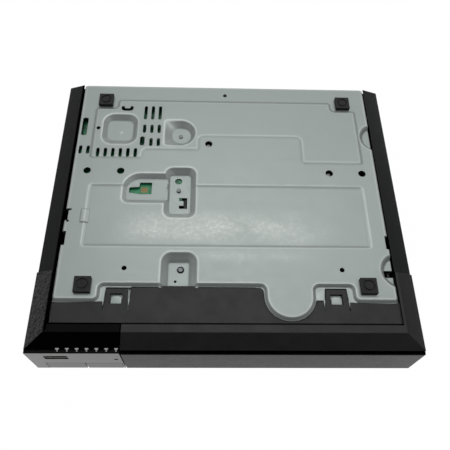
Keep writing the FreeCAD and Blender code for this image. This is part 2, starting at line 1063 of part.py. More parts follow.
def embosses():
    """Each pressed hollow of the bottom plate: its outline and its depth."""
    seats = [(-s.side_seat_x, y, s.side_seat_radius)
             for y in (s.back_side_seat_y, s.front_side_seat_y)]
    return [
        (rectangle(*area("block"), s.block_corner), s.emboss_depth),
        (rectangle(*area("lobe"), s.lobe_corner), s.lobe_depth),
        (rectangle(*area("dimple"), s.dimple_corner), s.dimple_depth),
        (half_round(*area("rest"), s.rest_corner, s.rest_side_corner), s.emboss_depth),
        (rectangle(*area("front_seat"), s.seat_corner), s.seat_depth),
        (seats[0], s.dimple_depth),
        (seats[1], s.dimple_depth),
    ]


def chassis_pan():
    """The flat plate with its sloped border, the raised panel and the sunk one."""
    level = s.foot_height
    pan = extrusion(placed_sketch("z", [plate_outline(0)], level), s.border_drop, s.border_angle)
    room = extrusion(placed_sketch("z", [plate_outline(s.border_inset)], level + s.sheet_steel),
                     s.border_drop, s.border_angle)
    raised, raised_room = pressed([raised_outline()], level - s.panel_step, s.panel_step, s.panel_slope)
    sunk_room, sunk = pressed([rectangle(*area("sunk"), s.panel_corner)], level, s.panel_step,
                              -s.panel_slope)
    return cut(fuse(cut(pan, room), raised, sunk), raised_room, sunk_room)


def hook_places():
    """The X of each hook tab."""
    return s.tab_left, s.tab_right


def hook(x):
    """A metal tongue that the lip's hook tab snaps over."""
    width = span(x, s.tab_base_half + s.tab_slit)
    back = s.plate_front - s.hook_inset
    floor = lip_top + s.running_gap
    wall = block(width, (back, back + s.sheet_steel), (rim_level - s.panel_step, floor + s.sheet_steel))
    tongue = block(width, (s.tab_front, back + s.sheet_steel), (floor, floor + s.sheet_steel))
    catch = block(span(x, s.tab_window_half - s.fit_gap),
                  (s.tab_window_front + s.fit_gap, s.tab_window_back - s.fit_gap),
                  (floor - s.hook_rise, floor))
    return [wall, tongue, catch]


def hook_flanges():
    """The flat flange of the bottom plate beside the hook tabs, up to its ears and its tongue."""
    back = s.plate_front - s.hook_inset + s.sheet_steel
    made = []
    for x, way, edge, front in (
        (s.tab_right, 1, s.plate_ear_right, s.lip_ear_back),
        (s.tab_left, -1, s.plate_ear_left, s.lip_ear_back),
        (s.tab_left, 1, s.tongue_centre - s.tongue_radius, s.lip_flank_back),
    ):
        base = x + (s.tab_base_half + s.running_gap) * way
        end = x + (s.tab_end_half + s.running_gap) * way
        outer = edge + s.sheet_steel * way
        front = front + s.running_gap
        corners = [(base, front), (outer, front), (outer, back), (end, back)]
        made.append(prism("z", corners, (rim_level, rim_level + s.sheet_steel)))
    return made


def plate_places():
    """The centre and radius of each round hole in the bottom plate."""
    far_x, near_x = s.big_hole_far, s.big_hole_near
    places = [(x, s.big_holes_y, s.big_hole_radius) for x in (far_x, near_x, -far_x, -near_x)]
    places.append((s.middle_hole_x, s.middle_hole_y, s.big_hole_radius))
    for x, y in (
        (s.front_hole_x, s.front_hole_y),
        (-s.front_hole_x, s.front_hole_y),
        (term(0), s.back_hole_y),
        (s.side_hole_x, s.side_hole_y),
    ):
        places.append((x, y, s.small_hole_radius))
    for x, y in board_screw_places():
        places.append((x, y, s.screw_shank))
    places.append((s.ear_x, s.ear_y, s.screw_shank))
    places += [(x, y, s.foot_plug) for x, y in foot_places()]
    return places


def claw_outline():
    """A C-shaped slot round a small hook."""
    x, y = area("claw")
    inner = s.claw_tongue
    tongue = y[0] + inner, y[1] - inner
    return [
        (x[0], y[0]), (x[1], y[0]), (x[1], tongue[0]), (x[0] + inner, tongue[0]),
        (x[0] + inner, tongue[1]), (x[1], tongue[1]), (x[1], y[1]), (x[0], y[1]),
    ]


def crescent_outline():
    """A slot bent round the front of a small lug."""
    x, y = area("crescent")
    inner = s.crescent_tongue
    return [
        (x[0], y[0]), (x[1], y[0]), (x[1], y[1]), (x[1] - inner, y[1]),
        (x[1] - inner, y[0] + inner), (x[0] + inner, y[0] + inner), (x[0] + inner, y[1]), (x[0], y[1]),
    ]


def window_outline():
    """The stepped window that shows the main board."""
    x, y = area("board_window")
    return [
        (x[0], y[0]), (x[1], y[0]), (x[1], s.window_step_y),
        (s.window_step_x, s.window_step_y), (s.window_step_x, y[1]), (x[0], y[1]),
    ]


def vents():
    """The rows of vent slots under the main board."""
    rows = [
        (s.vent_x, s.vent_back, s.vent_back_length, s.vent_columns),
        (s.vent_x, s.vent_middle, s.vent_middle_length, s.vent_columns),
        (s.vent_x, s.vent_front, s.vent_front_length, s.vent_front_slots),
        (s.vent_row_x, s.vent_row_back, s.vent_row_length, s.vent_row_slots),
        (s.vent_side_x, s.vent_side_back, s.vent_front_length, s.vent_side_slots),
    ]
    slots = []
    for x, back, length, count in rows:
        for index in range(count.count()):
            across = span(x + index * s.slot_pitch, s.slot_width / 2)
            slots.append(rectangle(across, (back - length, back), s.slot_end))
    return slots


def bottom_chassis():
    level = s.foot_height
    added = []
    removed = []
    for outline, depth in embosses():
        inner, outer = pressed([outline], level - s.panel_step, depth + s.panel_step, -s.emboss_slope)
        added.append(outer)
        removed.append(inner)
    flange_y = s.plate_ear_front + s.plate_corner, panel_inner - s.panel_flange
    for x in sides(plate_half - s.sheet_steel, plate_half):
        added.append(block(x, flange_y, (level, level + s.side_flange_height)))
    for x, y in post_places():
        added.append(rod("z", (x, y), (level + s.panel_step, board_bottom), s.post_radius))
    for x in sides(plate_half, far):
        removed.append(block(x, (low, far), (low, s.overall_height)))
    removed.append(block(span(0, far), (plate_back, far), (low, s.overall_height)))
    seat_x = grown(area("front_seat")[0], s.plastic_wall)
    removed.append(block(seat_x, (low, s.lip_back + s.fit_gap), (low, s.overall_height)))
    for x, y, radius in plate_places():
        removed.append(rod("z", (x, y), (low, s.overall_height), radius))
    openings = [claw_outline(), crescent_outline(), window_outline()]
    openings.append(rectangle(*area("long_slot"), s.long_slot_corner))
    openings.append(rectangle(*area("half_hole"), s.half_hole_corner))
    openings.append(rectangle(*area("wide_slot"), s.wide_slot_corner))
    openings += [rectangle(*area(name)) for name in ("left_notch", "right_notch", "seat_opening")]
    for outline in openings + vents():
        removed.append(prism("z", outline, (low, s.overall_height)))
    hooks = [piece for x in hook_places() for piece in hook(x)]
    node("bottom_chassis", fuse(cut(fuse(chassis_pan(), *added), *removed), *hooks, *hook_flanges()))


def front_wedge(x):
    """What the front facet takes off the lower front edge."""
    top, bottom = chamfer_top, s.foot_height
    return prism("x", [(low, low), (facet_back, low), (facet_back, bottom),
                       (s.front_setback, top), (low, top)], x)


def side_wedge(side):
    """What the side facet takes off the lower edge of one side."""
    corners = [(far, low), (facet_inner, low), (facet_inner, s.foot_height),
               (half_width, chamfer_top), (far, chamfer_top)]
    return prism("y", [(side * x, z) for x, z in corners], (low, far))


def tab_outline(x, base_half, end_half, back):
    """A hook tab's outline: a little narrower at its free end."""
    return [
        (x - base_half, s.tab_front), (x + base_half, s.tab_front),
        (x + end_half, back), (x - end_half, back),
    ]


def lip():
    """The thin plate under the bottom plate's front edge, with its two hook tabs and its groove."""
    z = rim_level, lip_top
    room = grown(z, s.fit_gap)
    left = -rail_inner - s.fit_gap
    groove = band_back + s.lip_gap
    slab = prism("z", [
        (left, facet_back + s.plastic_wall), (s.split_reach, facet_back + s.plastic_wall),
        (s.split_reach, groove), (lip_outer, groove), (lip_outer, s.lip_ear_back),
        (s.tab_right, s.lip_ear_back), (s.tab_right, s.lip_back), (s.tongue_centre, s.lip_back),
        (s.tongue_centre, s.lip_flank_back), (s.tab_left, s.lip_flank_back),
        (s.tab_left, s.lip_ear_back), (left, s.lip_ear_back),
    ], z)
    depth = low, lip_top - s.groove_floor
    removed = [block((-rail_inner, s.split_reach + s.fit_gap), (band_back, groove), depth)]
    tabs = []
    for x in hook_places():
        base = s.tab_base_half + s.tab_slit
        end = s.tab_end_half + s.tab_slit + s.tab_slit_spread
        removed.append(prism("z", tab_outline(x, base, end, s.lip_back + s.fit_gap), room))
        window = block(span(x, s.tab_window_half), (s.tab_window_front, s.tab_window_back), room)
        root = block(span(x, s.tab_base_half), (s.tab_front - s.plastic_wall, s.tab_front + s.fit_gap), z)
        tab = prism("z", tab_outline(x, s.tab_base_half, s.tab_end_half, s.tab_back), z)
        tabs.append(fuse(root, cut(tab, window)))
    return fuse(cut(slab, *removed), *tabs)


def front_bezel():
    x = -half_width, s.split_reach
    inner = -rail_inner, far
    back = far
    body = block(x, (s.front_setback, s.wing_back), (s.foot_height, bezel_top))
    removed = [
        front_wedge(grown(x, s.fit_gap)),
        side_wedge(-1),
        block((-far, far), (low, bay_back), (bay_floor, s.overall_height)),
        block(inner, (bay_wall, back), (lip_top, strip_bottom)),
        block(inner, (band_back, back), (low, lip_top)),
        block((-half_width + s.plastic_wall, -rail_inner), (bay_wall, back), (wing_level, strip_bottom)),
        block((-far, far), (s.top_strip_back, back), (cheek_top, s.overall_height)),
        block(span(s.drive_centre, tray_half + s.tray_slot_gap), (low, bay_wall + s.fit_gap),
              (rack_bottom - s.fit_gap, s.upstand_top + s.fit_gap * 3)),
    ]
    ledge = block((-rail_inner, s.split_reach - s.plastic_wall),
                  (s.top_strip_back - s.plastic_wall, s.top_strip_back + s.ledge_width),
                  (strip_bottom, cover_inner))
    node("front_bezel", fuse(cut(body, *removed), lip(), ledge))


def mitre(gap, side):
    """The slanted cut between the gloss panel and the side trim, on the panel's or the trim's side."""
    line = [(half_width, s.front_setback + gap), (facet_inner, facet_back + gap),
            (rail_inner - s.fit_gap, facet_back + half_width - rail_inner - s.side_facet + gap)]
    if side == "trim":
        return [(far, line[0][1])] + line + [(rail_inner - s.fit_gap, far), (far, far)]
    return [(far, low), (far, line[0][1])] + line + [(low, line[2][1]), (low, low)]


def key_places():
    """The stretch along X of each key cap, left one first."""
    gap = s.key_split_gap / 2
    return (
        (gloss_side + s.key_gap + s.split_gap, s.key_split - gap),
        (s.key_split + gap, half_width - s.key_side - s.key_gap),
    )


def gloss_panel():
    x = gloss_side, half_width
    face = s.gloss_wall
    body = block(x, (0, s.top_strip_back), (s.foot_height, bezel_top))
    key_level = bezel_top - s.key_height
    removed = [
        front_wedge(grown(x, s.fit_gap)),
        side_wedge(1),
        block(x, (low, s.front_setback), (low, bay_floor)),
        block((gloss_side + s.plastic_wall, far), (face, far), (bay_floor, strip_bottom)),
        block(grown(x, s.fit_gap), (band_back, far), (low, lip_top)),
        prism("z", mitre(term(0), "trim"), (low, bay_floor)),
        block((gloss_side + s.split_gap, half_width - s.key_side), (low, face + s.key_gap * 2),
              (key_level - s.key_gap, s.overall_height)),
        block(span(s.usb_centre, s.usb_half_width + s.fit_gap), (low, face + s.fit_gap),
              span(s.usb_level, s.usb_half_height + s.fit_gap)),
        rod("y", (s.light_x, s.light_z), (low, face + s.fit_gap), s.light_radius + s.running_gap),
    ]
    bosses = []
    for at in front_board_holes():
        y = face - s.fit_gap, s.front_board_front
        boss = rod("y", at, y, s.boss_radius)
        bosses.append(cut(boss, rod("y", at, (s.front_board_front - s.boss_bore, y[1]), s.small_shank)))
    node("gloss_panel", fuse(cut(body, *removed), *bosses))


def side_trim():
    x = rail_inner, half_width
    back = s.wing_back
    body = block(x, (s.front_setback, back), (s.foot_height, cheek_top))
    removed = [
        side_wedge(1),
        front_wedge(grown(x, s.fit_gap)),
        prism("z", mitre(s.fit_gap, "panel"), (low, bay_floor + s.fit_gap)),
        block((low, far), (low, s.gloss_wall + s.fit_gap), (bay_floor - s.fit_gap, s.overall_height)),
        block((rail_inner, half_width - s.plastic_wall), (low, far), (wing_level, s.overall_height)),
    ]
    tab = block((lip_outer - s.trim_tab, rail_inner + s.fit_gap),
                (s.top_strip_back + s.fit_gap, s.lip_ear_back - s.fit_gap),
                (lip_top, lip_top + s.sheet_steel))
    node("side_trim", fuse(cut(body, *removed), tab))


def tray_door():
    x = -half_width, s.split_reach
    z = chamfer_top + s.door_gap, bezel_top
    wall = s.plastic_wall
    shell = block(x, (0, s.door_depth), z)
    room = block(grown(x, -wall), (wall, s.door_depth + s.fit_gap), grown(z, -wall))
    node("tray_door", cut(shell, room))


def foot_places():
    """The middle of each foot."""
    places = []
    for y in (s.foot_front, s.foot_back):
        places += [(-s.foot_reach, y), (s.foot_reach, y)]
    return places


def feet():
    names = "foot_front_left", "foot_front_right", "foot_back_left", "foot_back_right"
    for name, (x, y) in zip(names, foot_places()):
        half = s.foot_side / 2
        pad = rounded_block(span(x, half), span(y, half), (0, s.foot_height), s.foot_corner)
        groove = ring("z", (x, y), (-s.fit_gap, s.foot_pip_depth), s.foot_pip_radius + s.foot_ring,
                      s.foot_pip_radius)
        plug = rod("z", (x, y), (s.foot_height - s.fit_gap, plate_inner + s.sheet_steel), s.foot_plug)
        node(name, fuse(cut(pad, groove), plug))


# Keys, front board and sockets


def front_board_holes():
    """The X and Z of the front board's two screws."""
    return (s.front_screw_x, s.front_screw_z), (s.front_screw_far_x, s.front_screw_far_z)


def key_level():
    return bezel_top - s.key_height


def key_centre(x):
    return (term(x[0]) + x[1]) / 2, key_level() + s.key_stem_rise


def keys():
    caps = []
    plungers = []
    switches = []
    for x in key_places():
        across, up = key_centre(x)
        cap = block(x, (0, s.gloss_wall), (key_level(), bezel_top - s.key_gap))
        stem = block(span(across, s.switch_half), (s.gloss_wall - s.fit_gap, s.key_stem_back),
                     span(up, s.key_stem_half))
        caps.append(fuse(cap, stem))
        plungers.append(rod("y", (across, up), (s.key_stem_back, s.switch_front + s.plunger_depth),
                            s.plunger_radius))
        body = block(span(across, s.switch_half), (s.switch_front, s.front_board_front),
                     span(up, s.switch_half))
        bore = rod("y", (across, up),
                   (s.switch_front, s.switch_front + s.plunger_depth + s.key_travel + s.running_gap),
                   s.plunger_radius + s.running_gap)
        switches.append(cut(body, bore))
    for label, cap in zip(("power_button", "eject_button"), caps):
        node(label, cap)
    for label, plunger in zip(("power_plunger", "eject_plunger"), plungers):
        node(label, plunger)
    node("key_switches", group(*switches))


def front_board():
    z = s.front_board_bottom, strip_bottom - s.fit_gap * 2
    y = s.front_board_front, s.front_board_back
    board = block((gloss_side + s.front_board_gap, half_width - s.key_side + s.running_gap), y, z)
    node("front_board", cut(board, *[rod("y", at, y, s.small_shank) for at in front_board_holes()]))
    screws = []
    for at in front_board_holes():
        back = s.front_board_back
        shank = rod("y", at, (s.front_board_front - s.boss_bore + s.fit_gap, back), s.small_shank)
        head = rod("y", at, (back, back + s.screw_head_height), s.small_head)
        screws.append(fuse(shank, head))
    node("front_board_screws", group(*screws))


def front_board_parts():
    light = rod("y", (s.light_x, s.light_z), (s.light_front, s.front_board_front), s.light_radius)
    node("status_light_pipe", light)
    y = s.eye_front, s.front_board_front
    eye = block(span(s.key_split, s.eye_half), y, span(s.light_z, s.eye_half))
    dome = rod("y", (s.key_split, s.light_z), (s.eye_front - s.eye_dome, s.eye_front), s.eye_dome)
    node("infrared_receiver", fuse(eye, dome))
    across = span(s.usb_centre, s.usb_half_width)
    up = span(s.usb_level, s.usb_half_height)
    shell = block(across, (s.usb_front, s.front_board_front), up)
    room = block(grown(across, -s.usb_wall), (low, s.front_board_front - s.usb_back), grown(up, -s.usb_wall))
    node("usb_port", cut(shell, room))
    top = up[1] - s.usb_wall - s.usb_tongue_gap
    node("usb_tongue", block(grown(across, -s.usb_wall - s.usb_tongue_side),
                             (s.usb_front + s.gloss_wall, s.front_board_front - s.usb_back),
                             (top - s.usb_tongue_thickness, top)))


# Main board


def post_places():
    """Where the two pressed posts carry the main board."""
    return (s.post_x, s.post_front), (s.post_x, board_back - s.post_inset)


def board_screw_places():
    """Where the four screws hold the main board."""
    seats = (s.emboss_screw_x, s.block_screw_y), (s.emboss_screw_x, s.rest_screw_y)
    return seats + post_places()


def main_board():
    board = block((board_inner, s.board_outer), (s.board_front, board_back), (board_bottom, board_top))
    holes = [rod("z", at, (board_bottom, board_top), s.screw_shank) for at in board_screw_places()]
    node("main_board", cut(board, *holes))
    screws = []
    for at in board_screw_places():
        shank = rod("z", at, (board_bottom - s.screw_grip, board_top), s.screw_shank)
        head = rod("z", at, (board_top, board_top + s.screw_head_height), s.screw_head)
        screws.append(fuse(shank, head))
    node("board_screws", group(*screws))


def on_board(x, y, height):
    """A block that stands on the main board."""
    return block(x, y, (board_top, board_top + height))


def processor():
    x = span(s.chip_x, s.chip_half)
    y = span(s.chip_y, s.chip_half)
    node("processor", on_board(x, y, s.chip_height))
    base = board_top + s.chip_height
    plate = block(span(s.chip_x, s.sink_half), span(s.chip_y, s.sink_half), (base, base + s.sink_plate))
    fins = []
    pitch = (s.sink_half * 2 - s.fin_thickness) / (s.fin_count - 1)
    for index in range(s.fin_count.count()):
        x = s.chip_x - s.sink_half + index * pitch
        fins.append(block((x, x + s.fin_thickness), span(s.chip_y, s.sink_half),
                          (base + s.sink_plate - s.fit_gap, base + s.sink_height)))
    node("heat_sink", fuse(plate, *fins))


def board_parts():
    cans = []
    for x, y in (
        (s.can_near_x, s.can_front_y),
        (s.can_near_x + s.can_pitch, s.can_front_y),
        (s.can_far_x, s.can_back_y),
        (s.can_far_x, s.can_back_y + s.can_pitch),
    ):
        cans.append(rod("z", (x, y), (board_top, board_top + s.can_height), s.can_radius))
    node("capacitors", group(*cans))
    ribbon_x = span(s.ribbon_x, s.ribbon_half + s.ribbon_plug_side)
    ribbon_y = span(s.drive_ribbon_y, s.ribbon_half + s.ribbon_plug_side)
    height = s.ribbon_plug_height
    plug_back = s.board_front + s.ribbon_plug_depth + s.ribbon_plug_wall
    front = on_board(ribbon_x, (s.board_front + s.ribbon_plug_wall, plug_back), height)
    side = on_board((board_inner + s.drive_plug_x, drive_plug_end()),
                    ribbon_y, height)
    panel = block(ribbon_x, (s.front_board_back, s.front_board_back + s.ribbon_plug_depth),
                  (board_top, board_top + height))
    floor = s.base_bottom + s.deck_thickness
    drive = block((s.drive_plug_far, s.drive_plug_far + s.ribbon_plug_depth), ribbon_y,
                  (floor, board_top + height))
    plugs = []
    slot_z = ribbon_level()
    for plug, x, y in (
        (front, span(s.ribbon_x, s.ribbon_half), (low, s.board_front + s.ribbon_plug_depth)),
        (panel, span(s.ribbon_x, s.ribbon_half), (s.front_board_back + s.ribbon_plug_wall, far)),
        (side, (low, drive_plug_end() - s.ribbon_plug_wall),
         span(s.drive_ribbon_y, s.ribbon_half)),
        (drive, (s.drive_plug_far + s.ribbon_plug_wall, far), span(s.drive_ribbon_y, s.ribbon_half)),
    ):
        plugs.append(cut(plug, block(x, y, slot_z)))
    node("ribbon_connectors", group(*plugs))


def drive_plug_end():
    """Where the main board's plug for the drive's ribbon ends along X."""
    return board_inner + s.drive_plug_x + s.ribbon_plug_depth


def ribbon_level():
    """The stretch along Z of the flat ribbons."""
    level = board_top + s.ribbon_rise
    return level, level + s.ribbon_thickness


def ribbons():
    x = span(s.ribbon_x, s.ribbon_half)
    y = s.front_board_back + s.ribbon_plug_wall, s.board_front + s.ribbon_plug_depth
    node("front_ribbon", block(x, y, ribbon_level()))
    x = s.drive_plug_far + s.ribbon_plug_wall, drive_plug_end() - s.ribbon_plug_wall
    node("drive_ribbon", block(x, span(s.drive_ribbon_y, s.ribbon_half), ribbon_level()))


JACKS = ("dc_jack", "hdmi_jack", "lan_jack", "coax_jack")


def jack_size(name):
    """The stretch along X of a socket's body, and its top."""
    x = getattr(s, name + "_x")
    half = getattr(s, name + "_half")
    return span(x, half), board_top + getattr(s, name + "_height")


def jack_body(name):
    across, top = jack_size(name)
    return block(across, (panel_outer - s.jack_length, panel_outer + s.jack_reach), (board_top, top))


def jack_middle(name):
    return getattr(s, name + "_x"), board_top + getattr(s, name + "_height") / 2


def jack_room(depth):
    """The stretch along Y of a hollow that opens at the back."""
    back = panel_outer + s.jack_reach
    return back - depth, back + s.fit_gap


def sockets():
    middle = jack_middle("dc_jack")
    bore = ring("y", middle, jack_room(s.dc_depth), s.dc_radius, s.dc_pin_radius)
    node("dc_jack", cut(jack_body("dc_jack"), bore))
    across, top = jack_size("hdmi_jack")
    room = block(grown(across, -s.socket_wall), jack_room(s.hdmi_depth),
                 (board_top + s.socket_wall, top - s.socket_wall))
    tongue = block(grown(across, -s.socket_wall * 3), (jack_room(s.hdmi_depth)[0] - s.fit_gap, panel_outer),
                   span(jack_middle("hdmi_jack")[1], s.socket_wall))
    node("hdmi_jack", fuse(cut(jack_body("hdmi_jack"), room), tongue))
    x, z = jack_middle("lan_jack")
    room = block(span(x, s.lan_half), jack_room(s.lan_depth), span(z, s.lan_half_height))
    key = block(span(x, s.lan_key_half), jack_room(s.lan_depth),
                (z + s.lan_half_height - s.fit_gap, z + s.lan_half_height + s.lan_key))
    node("lan_jack", cut(jack_body("lan_jack"), room, key))
    middle = jack_middle("coax_jack")
    back = panel_outer + s.jack_reach
    collar = rod("y", middle, (back - s.fit_gap, back + s.coax_collar), s.coax_radius)
    bore = rod("y", middle, (back - s.coax_depth, back + s.coax_collar), s.coax_bore)
    node("coax_jack", cut(fuse(jack_body("coax_jack"), collar), bore))


# Disc drive

tray_half = s.disc_radius + s.tray_margin
base_half = tray_half + s.tray_side_gap + s.base_wall
drive_left = s.drive_centre - base_half
drive_right = s.drive_centre + base_half
board_inner = drive_right + s.board_drive_gap
base_back = panel_inner - s.panel_flange
base_inner = tray_half + s.tray_side_gap
guide_top = s.tray_bottom - s.running_gap
deck_bottom = s.deck_top - s.deck_thickness
gear_x = s.rack_line - s.gear_module * s.loading_teeth / 2
spread = s.gear_module * (s.loading_teeth + s.pinion_teeth) / 2
pinion_x = gear_x + spread * math.cos(math.radians(s.mesh_angle.number))
pinion_y = s.gear_y + spread * math.sin(math.radians(s.mesh_angle.number))
pulley_bottom = s.deck_top + s.pulley_gap
pulley_top = pulley_bottom + s.pulley_height
gear_bottom = pulley_top + s.pulley_gap
gear_top = rack_bottom + s.gear_overlap
tray_back = s.gear_y + s.tray_travel + s.rack_end
rod_back = s.sled_front + s.sled_length + s.sled_travel + s.rod_block * 2


def across_drive(inner, outer):
    """The same stretch on both sides of the drive's middle."""
    return [(s.drive_centre + start, s.drive_centre + end) for start, end in sides(inner, outer)]


def bush_places():
    """The stretch along X of each pivot bush."""
    start = s.traverse_half_width + s.bush_side_gap
    return across_drive(start, start + s.bush_width)


def bridge_screw_places():
    """Where the clamp bridge is screwed to the base."""
    places = []
    for sign in (-1, 1):
        for back in (-1, 1):
            places.append((s.drive_centre + sign * (base_half + s.boss_radius),
                           s.disc_centre + back * s.bridge_screw_reach))
    return places


def loader_base():
    x = drive_left, drive_right
    y = s.base_front, base_back
    wall = s.base_wall
    inside = across_drive(0, base_inner + s.fit_gap)
    walls = tube(x, y, (s.base_bottom, s.base_top), wall)
    gaps = [
        block(span(s.drive_centre, base_inner), (low, s.base_front + wall), (s.deck_top, far)),
        block((drive_right - wall * 2, far), span(s.drive_ribbon_y, s.ribbon_half + s.jack_gap),
              grown(ribbon_level(), s.jack_gap)),
    ]
    across = span(s.drive_centre, base_inner + s.fit_gap)
    deck = block(across, (s.base_front + wall - s.fit_gap, s.slider_front - s.fit_gap),
                 (deck_bottom, s.deck_top))
    deck = cut(deck, rod("z", (s.motor_x, s.motor_y), (deck_bottom, s.deck_top),
                         s.motor_pulley_radius - s.pulley_rim))
    floor = block(across, (s.traverse_back + s.fit_gap, base_back),
                  (s.base_bottom, s.base_bottom + s.deck_thickness))
    rests = []
    for stretch in across_drive(base_inner - s.guide_width, base_inner + s.fit_gap):
        rests.append(block(stretch, (s.base_front + wall, base_back), (guide_top - s.base_wall, guide_top)))
    for stretch in across_drive(tray_half - s.hold_overlap, base_inner + s.fit_gap):
        for start in (s.base_front + wall, s.disc_centre, base_back - wall - s.hold_length):
            rests.append(block(stretch, (start, start + s.hold_length),
                               (s.tray_top + s.fit_gap, s.tray_top + s.fit_gap + s.base_wall)))
    posts = [
        rod("z", (gear_x, s.gear_y), (s.deck_top - s.fit_gap, gear_top), s.gear_post),
        rod("z", (pinion_x, pinion_y), (s.deck_top - s.fit_gap, gear_top), s.pulley_post),
    ]
    brackets = []
    for stretch in bush_places():
        bracket = block(stretch, (s.pivot_y - s.bush_radius - wall, s.traverse_back + s.bush_radius),
                        (s.base_bottom, s.pivot_z + s.bush_radius + wall))
        brackets.append(bracket)
    bosses = [rod("z", at, (s.tray_bottom, s.base_top), s.boss_radius + s.fit_gap)
              for at in bridge_screw_places()]
    bores = [rod("z", at, (s.base_top - s.screw_length, s.base_top), s.small_shank)
             for at in bridge_screw_places()]
    for stretch in bush_places():
        bores.append(rod("x", (s.pivot_y, s.pivot_z), grown(stretch, s.fit_gap), s.bush_radius))
    ear_top = drive_seat + s.ear_thickness
    bores.append(rod("z", (s.ear_x, s.ear_y), (ear_top, ear_top + s.screw_head_height * 2),
                     s.screw_head + s.fit_gap))
    body = fuse(cut(walls, *gaps), deck, floor, *rests, *posts, *brackets, *bosses, *base_feet())
    bores.append(rod("z", (s.ear_x, s.ear_y), (low, s.base_top), s.screw_shank))
    node("loader_base", cut(body, *bores))


def base_feet():
    """The ear at the front seat and the feet that stand on the other seats."""
    right = drive_right
    ear = rod("z", (s.ear_x, s.ear_y), (drive_seat, drive_seat + s.ear_thickness), s.ear_radius)
    top = s.base_bottom + s.base_wall
    rest = block((right - s.base_wall, board_inner - s.jack_gap), span(s.rest_foot_y, s.rest_foot_half),
                 (board_bottom, top))
    feet = [ear, rest]
    for y in (s.front_side_foot_y, s.back_side_foot_y):
        feet.append(block((drive_left, drive_left + s.base_wall), span(y, s.side_foot_half),
                          (side_seat_top, top)))
    return feet


def loader_screw():
    top = drive_seat + s.ear_thickness
    at = s.ear_x, s.ear_y
    shank = rod("z", at, (s.foot_height + s.seat_depth - s.screw_tip, top), s.screw_shank)
    head = rod("z", at, (top, top + s.screw_head_height), s.screw_head)
    node("loader_screw", fuse(shank, head))


def tooth_profile(pitch):
    """The four corners of one tooth: share of the pitch and height from the pitch line."""
    root, tip = -s.root_depth.number, s.tip_height.number
    return [(-s.root_share.number * pitch, root), (-s.tip_share.number * pitch, tip),
            (s.tip_share.number * pitch, tip), (s.root_share.number * pitch, root)]


def toothed_wheel(teeth, first_tooth, height):
    """A gear's solid round the Z axis; first_tooth is the angle of one tooth in degrees."""
    module = s.gear_module.number
    radius = module * teeth / 2
    turn = 360 / teeth
    points = []
    for index in range(teeth):
        for share, rise in tooth_profile(turn):
            angle = math.radians(first_tooth + index * turn + share)
            reach = radius + rise * module
            points.append(Vector(reach * math.cos(angle), reach * math.sin(angle), 0))
    face = Part.Face(Part.makePolygon(points + points[:1]))
    return face.extrude(Vector(0, 0, height))


def rack_solid(length, height):
    """A straight rack along Y, teeth towards -X, with one tooth centred on Y zero."""
    module = s.gear_module.number
    pitch = math.pi * module
    back = (s.root_depth.number + s.rack_back_width.number) * module
    count = int(length / pitch)
    points = [Vector(back, -pitch / 2, 0)]
    for index in range(count):
        for share, rise in tooth_profile(pitch):
            points.append(Vector(-rise * module, index * pitch + share, 0))
    points.append(Vector(back, points[-1].y, 0))
    points[0].y = points[1].y
    face = Part.Face(Part.makePolygon(points + points[:1]))
    return face.extrude(Vector(0, 0, height))


def loading_gear():
    teeth = s.loading_teeth.count()
    gap_at_rack = 180 / teeth
    wheel = feature(toothed_wheel(teeth, gap_at_rack, (gear_top - gear_bottom).number),
                    gear_x, s.gear_y, gear_bottom)
    hub = rod("z", (gear_x, s.gear_y), (s.deck_top, gear_top), s.gear_post + s.base_wall)
    bore = rod("z", (gear_x, s.gear_y), (s.deck_top, gear_top), s.gear_post + s.running_gap)
    node("loading_gear", cut(fuse(wheel, hub), bore))


def pulley_gear():
    teeth = s.loading_teeth.count()
    small = s.pinion_teeth.count()
    mesh = s.mesh_angle.number
    turn = 360 / teeth
    nearest_gap = round(mesh / turn) * turn
    tooth = mesh - 180 + (mesh - nearest_gap) * teeth / small
    at = pinion_x, pinion_y
    pinion = feature(toothed_wheel(small, tooth, (gear_top - pulley_top + s.running_gap).number),
                     *at, pulley_top - s.running_gap)
    pulley = grooved_pulley(at, s.pulley_radius)
    bore = rod("z", at, (pulley_bottom, gear_top), s.pulley_post + s.running_gap)
    node("pulley_gear", cut(fuse(pinion, *pulley), bore))


def grooved_pulley(at, radius):
    """A pulley's core and its two thin rims."""
    rim = s.pulley_rim
    return [
        rod("z", at, (pulley_bottom, pulley_top), radius - s.groove_depth),
        rod("z", at, (pulley_bottom, pulley_bottom + rim), radius),
        rod("z", at, (pulley_top - rim, pulley_top), radius),
    ]


def loading_motor():
    at = s.motor_x, s.motor_y
    can = rod("z", at, (s.motor_bottom, deck_bottom), s.motor_radius)
    bore = rod("z", at, (deck_bottom - s.screw_length, deck_bottom), s.motor_shaft + s.running_gap)
    node("loading_motor", cut(can, bore))
    shaft = rod("z", at, (deck_bottom - s.screw_length, gear_top), s.motor_shaft)
    node("motor_pulley", fuse(shaft, *grooved_pulley(at, s.motor_pulley_radius)))


def belt_loop(distance, big, small, height):
    """A belt's outline round two circles, the small one at the origin and the big one along X."""
    lean = math.asin((big - small) / distance)
    across, up = -math.sin(lean), math.cos(lean)
    corners = [Vector(small * across, small * up, 0), Vector(distance + big * across, big * up, 0),
               Vector(distance + big * across, -big * up, 0), Vector(small * across, -small * up, 0)]
    middle = Part.Face(Part.makePolygon(corners + corners[:1]))
    solid = middle.extrude(Vector(0, 0, height))
    for x, radius in ((0, small), (distance, big)):
        solid = solid.fuse(Part.makeCylinder(radius, height, Vector(x, 0, 0)))
    return solid.removeSplitter()


